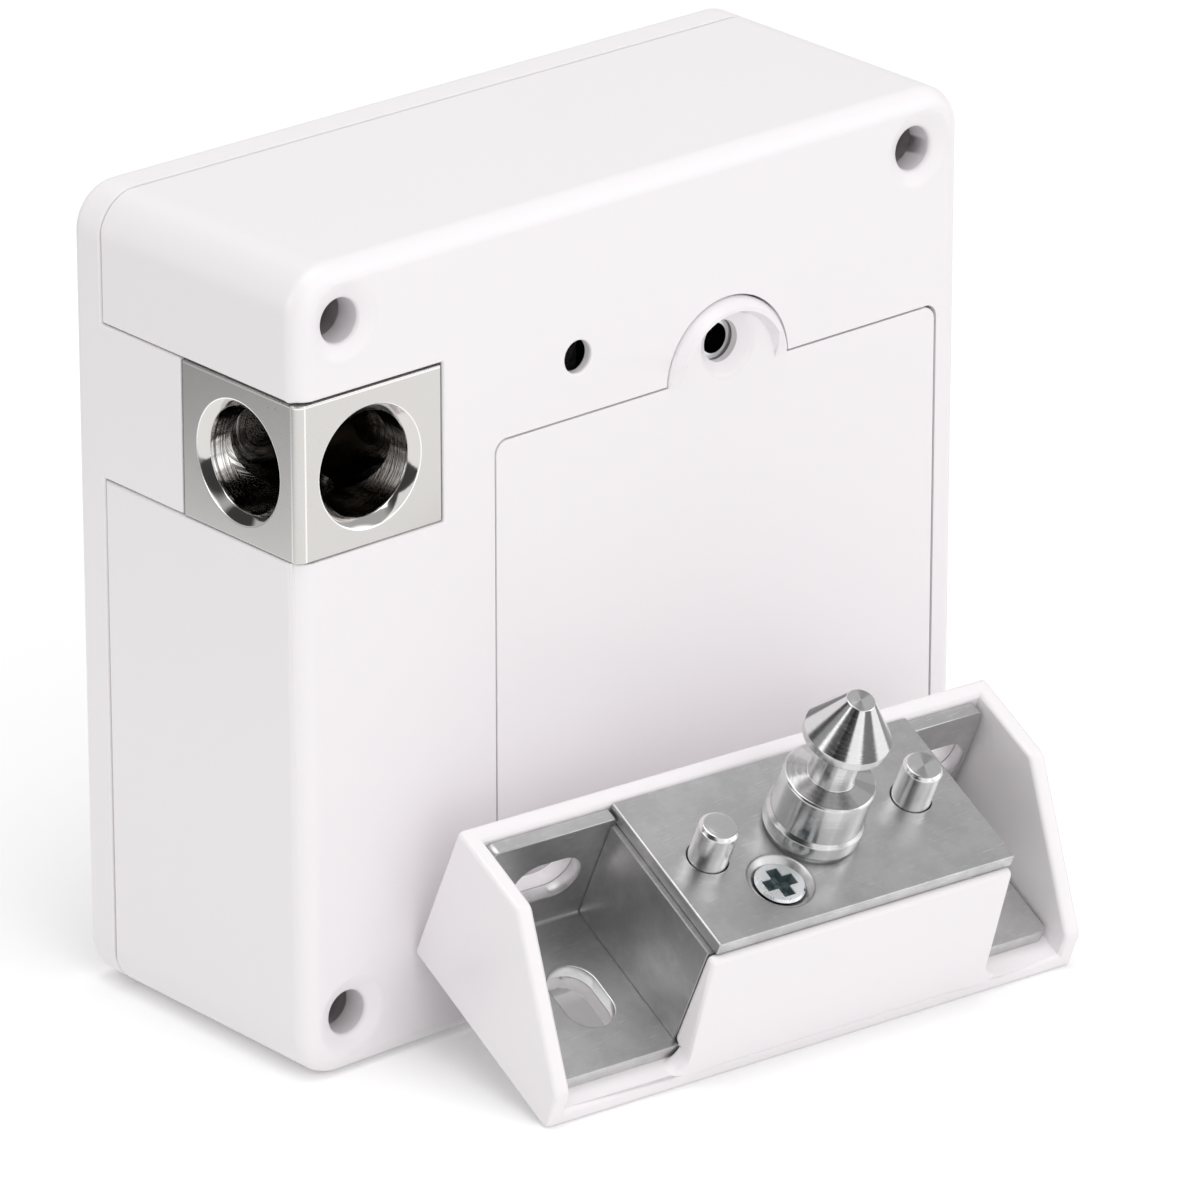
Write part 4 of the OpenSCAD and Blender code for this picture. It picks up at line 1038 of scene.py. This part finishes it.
class TurnStud(bpy.types.Operator):
    """Turns the striker's stud from its profile"""

    bl_idname = "cabinetlock.stud"
    bl_label = "Stud"

    def execute(self, context):
        profile = rounded_profile(STUD_PROFILE, radius=0.09)
        at = on_strike(STUD_AT)
        make_turned("Striker_stud", profile, at, finishes()["stud"], "lock", "striker_stud")
        return {"FINISHED"}


class TurnPins(bpy.types.Operator):
    """Turns the two ejector pins"""

    bl_idname = "cabinetlock.pins"
    bl_label = "Ejector pins"

    def execute(self, context):
        profile = rounded_profile(PIN_PROFILE, radius=0.08)
        for side in PIN_SIDES:
            at, body = on_pin(side, PLATE_UNDER), "pin_" + side
            make_turned("Ejector_" + body, profile, at, finishes()[body], body, "ejector_" + body)
        return {"FINISHED"}


class GrowScrews(bpy.types.Operator):
    """Places the cross-recess screws"""

    bl_idname = "cabinetlock.screws"
    bl_label = "Screws"

    def execute(self, context):
        look, backwards, tilted = finishes(), Euler((math.radians(-90), 0, 0)), STRIKE_TURNING.to_euler()
        place_screws("Rear_screws", REAR_SCREWS, backwards, REAR_SCREW, look["rear_head"])
        at = [on_strike(PLATE_SCREW_AT)]
        place_screws("Plate_screw", at, tilted, PLATE_SCREW, look["plate_head"])
        return {"FINISHED"}


class GrowSprings(bpy.types.Operator):
    """Winds the springs under the ejector pins"""

    bl_idname = "cabinetlock.springs"
    bl_label = "Springs"

    def execute(self, context):
        height = PLATE_UNDER - PIN_FLANGE - PIN_FLOOR
        for side in PIN_SIDES:
            foot = on_pin(side, PIN_FLOOR)
            values = {
                "Foot Radius": 1.6 * MM,
                "Top Radius": 1.6 * MM,
                "Height": height * MM,
                "Turns": 7.0,
                "Wire": 0.5 * MM,
                "Rotation": STRIKE_TURNING.to_euler(),
            }
            name = "Ejector_spring_" + side
            made = grown(name, coil_tree(), [metres(foot)], values, finishes()["spring"])
            shade(made, 50)
            hand_over(made, "lock", "spring_steel", "ejector_spring_" + side)
            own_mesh(made)
        return {"FINISHED"}


class DressInnerWorks(bpy.types.Operator):
    """Gives the latch, motor, boards, cells and contacts their finishes"""

    bl_idname = "cabinetlock.inner_works"
    bl_label = "Inner works"

    def execute(self, context):
        look = finishes()
        for finish, nodes in INNER_FINISHES.items():
            for node in nodes:
                finish_node(node, look[finish])
        return {"FINISHED"}


class SetStudio(bpy.types.Operator):
    """Makes the floor, the lamps, the room light and the camera"""

    bl_idname = "cabinetlock.studio"
    bl_label = "Studio"

    def execute(self, context):
        studio = context.scene.lock_studio
        make_floor()
        make_room(studio.room_light)
        make_lamp("Key lamp", KEY_AT, 1.2, studio.key_power)
        make_lamp("Top lamp", TOP_AT, 0.9, studio.top_power)
        make_camera(studio.focal_length)
        context.scene.view_settings.view_transform = "Standard"
        return {"FINISHED"}


# Turned profiles, as radius and height, and the sizes of the screws in view, in millimetres
STUD_PROFILE = [
    (0, -12.5),
    (2.0, -12.5),
    (2.0, 0),
    (4.05, 0),
    (4.05, 0.3),
    (4.3, 0.3),
    (4.55, 0.55),
    (4.55, 1.85),
    (4.2, 2.2),
    (4.25, 2.2),
    (4.25, 6.3),
    (4.08, 6.5),
    (2.15, 6.8),
    (2.15, 11.3),
    (3.85, 11.3),
    (3.95, 11.4),
    (3.95, STUD_CONE),
    (1.3, STUD_TIP),
    (0, STUD_TIP),
]
PIN_PROFILE = [
    (0, -PIN_FLANGE),
    (2.7, -PIN_FLANGE),
    (2.7, -0.05),
    (1.85, -0.05),
    (1.85, PIN_TIP - 0.3),
    (1.55, PIN_TIP),
    (0, PIN_TIP),
]
REAR_SCREW = {
    "Head Radius": 2.0,
    "Under Head Radius": 2.0,
    "Head Height": 1.4,
    "Shank Radius": 1.1,
    "Length": 12.0,
}
PLATE_SCREW = {
    "Head Radius": 2.35,
    "Under Head Radius": 1.5,
    "Head Height": 1.1,
    "Shank Radius": 1.5,
    "Length": 5.5,
}
INNER_FINISHES = {
    "bolt": ["latch_slide", "output_shaft"],
    "brass": ["drive_pinion"],
    "case": ["gear_motor", "set_switch"],
    "zinc": ["block_screws", "board_screws", "bracket_screws", "stud_nut"],
    "spring": ["contact_plates", "contact_springs"],
    "board": ["control_board", "switch_board"],
    "black": ["controller_chips", "buzzer", "set_button"],
    "cell": ["battery_cell_1", "battery_cell_2", "battery_cell_3", "battery_cell_4"],
    "nylon": ["board_header"],
    "insert": ["cover_insert"],
    "wire": ["antenna_coil"],
}


def rounded_profile(points, radius, steps=3):
    """The profile with its corners rounded, apart from its two ends on the axis."""
    points = [Vector(point) for point in points]
    made = [points[0]]
    for before, here, after in zip(points, points[1:], points[2:]):
        into, away = here - before, after - here
        reach = min(radius, into.length * 0.4, away.length * 0.4)
        first, last = here - into.normalized() * reach, here + away.normalized() * reach
        for step in range(steps + 1):
            share = step / steps
            made.append(first * (1 - share) ** 2 + here * 2 * share * (1 - share) + last * share**2)
    return made + [points[-1]]


def make_turned(name, profile, at, material, body, node):
    """Turns a profile round the upright of the striker that goes through a point."""
    points = [(point.x * MM, 0, point.y * MM) for point in profile]
    values = {
        "Sides": bpy.context.scene.lock_sizes.turned_sides,
        "Rotation": STRIKE_TURNING.to_euler(),
        "Place": metres(at),
    }
    made = grown(name, turned_tree(), points, values, material)
    shade(made, 30)
    hand_over(made, body, "bright_steel", node)


def place_screws(name, points, turning, sizes, material):
    """Puts a screw of given sizes on each point, in place of the CAD node of the same name."""
    values = {label: size * MM for label, size in sizes.items()}
    values["Recess Width"] = values["Head Radius"] * 0.56
    values["Recess Length"] = values["Head Radius"] * 1.5
    values["Edge"] = 0.2 * MM
    values["Sides"] = bpy.context.scene.lock_sizes.screw_sides
    values["Rotation"] = turning
    made = grown(name, screw_tree(), [metres(point) for point in points], values, material)
    shade(made, 40)
    hand_over(made, "lock", "screw_steel", name.lower())


def make_floor():
    """A pale floor that stays white to the camera and keeps the lock's shadow."""
    mesh = bpy.data.meshes.new("Floor")
    corners = [(x * FLOOR_REACH, y * FLOOR_REACH, 0) for x, y in ((-1, -1), (1, -1), (1, 1), (-1, 1))]
    mesh.from_pydata(corners, [], [(0, 1, 2, 3)])
    made = link(mesh, "Floor")
    pale, mirrored = (0.92, 0.92, 0.92), (0.1, 0.1, 0.1)
    material, work, shader, place = new_material("White floor", pale, 0.0, 0.6)
    shader.inputs["Specular IOR Level"].default_value = 0.0
    path = work.add("ShaderNodeLightPath")
    glossy = path.outputs["Is Glossy Ray"]
    seen = work.math("MAXIMUM", path.outputs["Is Camera Ray"], path.outputs["Is Transmission Ray"])
    # Painted reflection: to glossy rays the floor is dark and glows, brightly in front and dimly towards the
    # back left.
    behind = work.vector("DOT_PRODUCT", place, (-0.65, 0.75, 0.0), out=1)
    painted_glow = work.spread(behind, 0.1, 0.2, 0.95, 0.2, smooth=True)
    work.feed(shader.inputs["Base Color"], work.mix(glossy, pale, mirrored))
    shader.inputs["Emission Color"].default_value = (1, 1, 1, 1)
    glow = work.plus(work.times(seen, 0.16), work.times(glossy, painted_glow))
    work.feed(shader.inputs["Emission Strength"], glow)
    mesh.materials.append(material)


def make_room(strength):
    """Even light all round, white where the camera looks past the floor."""
    world = bpy.data.worlds.new("Studio room")
    world.use_nodes = True
    work = Shading(world.node_tree)
    work.nodes.clear()
    path = work.add("ShaderNodeLightPath")
    toward = work.add("ShaderNodeTexCoord").outputs["Generated"]

    def patch(direction, low, high):
        """How far a direction lies inside a round patch of the room."""
        near = work.vector("DOT_PRODUCT", toward, direction, out=1)
        return work.spread(near, low, high, smooth=True)

    front, back = patch((-0.59, -0.70, 0.40), 0.6, 0.86), patch((-0.41, 0.69, 0.59), 0.84, 0.93)
    dark = work.math("MAXIMUM", front, back)
    left_box = patch((-0.93, 0.20, 0.30), 0.93, 0.97)
    right_box = patch((0.72, -0.62, 0.30), 0.90, 0.955)
    low_band = work.spread(work.add("ShaderNodeSeparateXYZ", {"Vector": toward}).outputs["Z"], 0.15, 0.5)
    room = work.plus(0.56, work.times(low_band, -0.06))
    room = work.times(room, work.invert(work.times(dark, 0.9)))
    boxes = work.times(work.plus(left_box, right_box), 1.3)
    mirrored = work.plus(room, boxes)
    white = work.math("MAXIMUM", path.outputs["Is Camera Ray"], path.outputs["Is Transmission Ray"])
    level = work.add("ShaderNodeMix", {"Factor": path.outputs["Is Glossy Ray"], "A": strength, "B": mirrored})
    level = work.add("ShaderNodeMix", {"Factor": white, "A": level.outputs[0], "B": 1.0})
    light = work.add("ShaderNodeBackground", {"Color": (1, 1, 1, 1), "Strength": level.outputs[0]})
    work.add("ShaderNodeOutputWorld", {"Surface": light.outputs[0]})
    bpy.context.scene.world = world


def make_lamp(name, at, size, power):
    """A square lamp that faces the lock."""
    lamp = bpy.data.lights.new(name, "AREA")
    lamp.shape = "SQUARE"
    lamp.size = size
    lamp.energy = power
    made = link(lamp, name)
    made.location = at
    made.rotation_euler = (LAMPS_AIM - Vector(at)).to_track_quat("-Z", "Y").to_euler()


def make_camera(focal_length):
    """The camera that took the photograph's view."""
    data = bpy.data.cameras.new("Camera")
    data.sensor_width = 36
    data.lens = focal_length
    data.clip_start, data.clip_end = 0.01, 50
    made = link(data, "Camera")
    made.location = CAMERA_AT
    made.rotation_euler = [math.radians(turn) for turn in CAMERA_TURN]
    bpy.context.scene.camera = made


class LockPanel(bpy.types.Panel):
    """Lists the pieces, the studio and their settings"""

    bl_idname = "VIEW3D_PT_cabinet_lock"
    bl_label = "Cabinet lock"
    bl_space_type = "VIEW_3D"
    bl_region_type = "UI"
    bl_category = "Cabinet lock"

    def draw(self, context):
        layout = self.layout
        for operator in OPERATORS:
            layout.operator(operator.bl_idname)
        for label in GROUP_NAMES:
            box = layout.box()
            group = getattr(context.scene, label)
            for key in group.__annotations__:
                box.prop(group, key)


OPERATORS = (
    DressMouldings,
    DressBatteryCover,
    DressPortBlock,
    DressStrikerCover,
    DressStrikerSteel,
    TurnStud,
    TurnPins,
    GrowScrews,
    GrowSprings,
    DressInnerWorks,
    SetStudio,
)
GROUP_CLASSES = (LockSizes, LockColours, LockStudio)
GROUP_NAMES = ("lock_sizes", "lock_colours", "lock_studio")


def register():
    for made in (*GROUP_CLASSES, *OPERATORS, LockPanel):
        bpy.utils.register_class(made)
    for name, made in zip(GROUP_NAMES, GROUP_CLASSES):
        setattr(bpy.types.Scene, name, PointerProperty(type=made))


def unregister():
    for name in GROUP_NAMES:
        delattr(bpy.types.Scene, name)
    for made in reversed((*GROUP_CLASSES, *OPERATORS, LockPanel)):
        bpy.utils.unregister_class(made)


def main():
    register()
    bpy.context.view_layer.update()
    for operator in OPERATORS:
        family, name = operator.bl_idname.split(".")
        getattr(getattr(bpy.ops, family), name)()


if __name__ == "__main__":
    main()
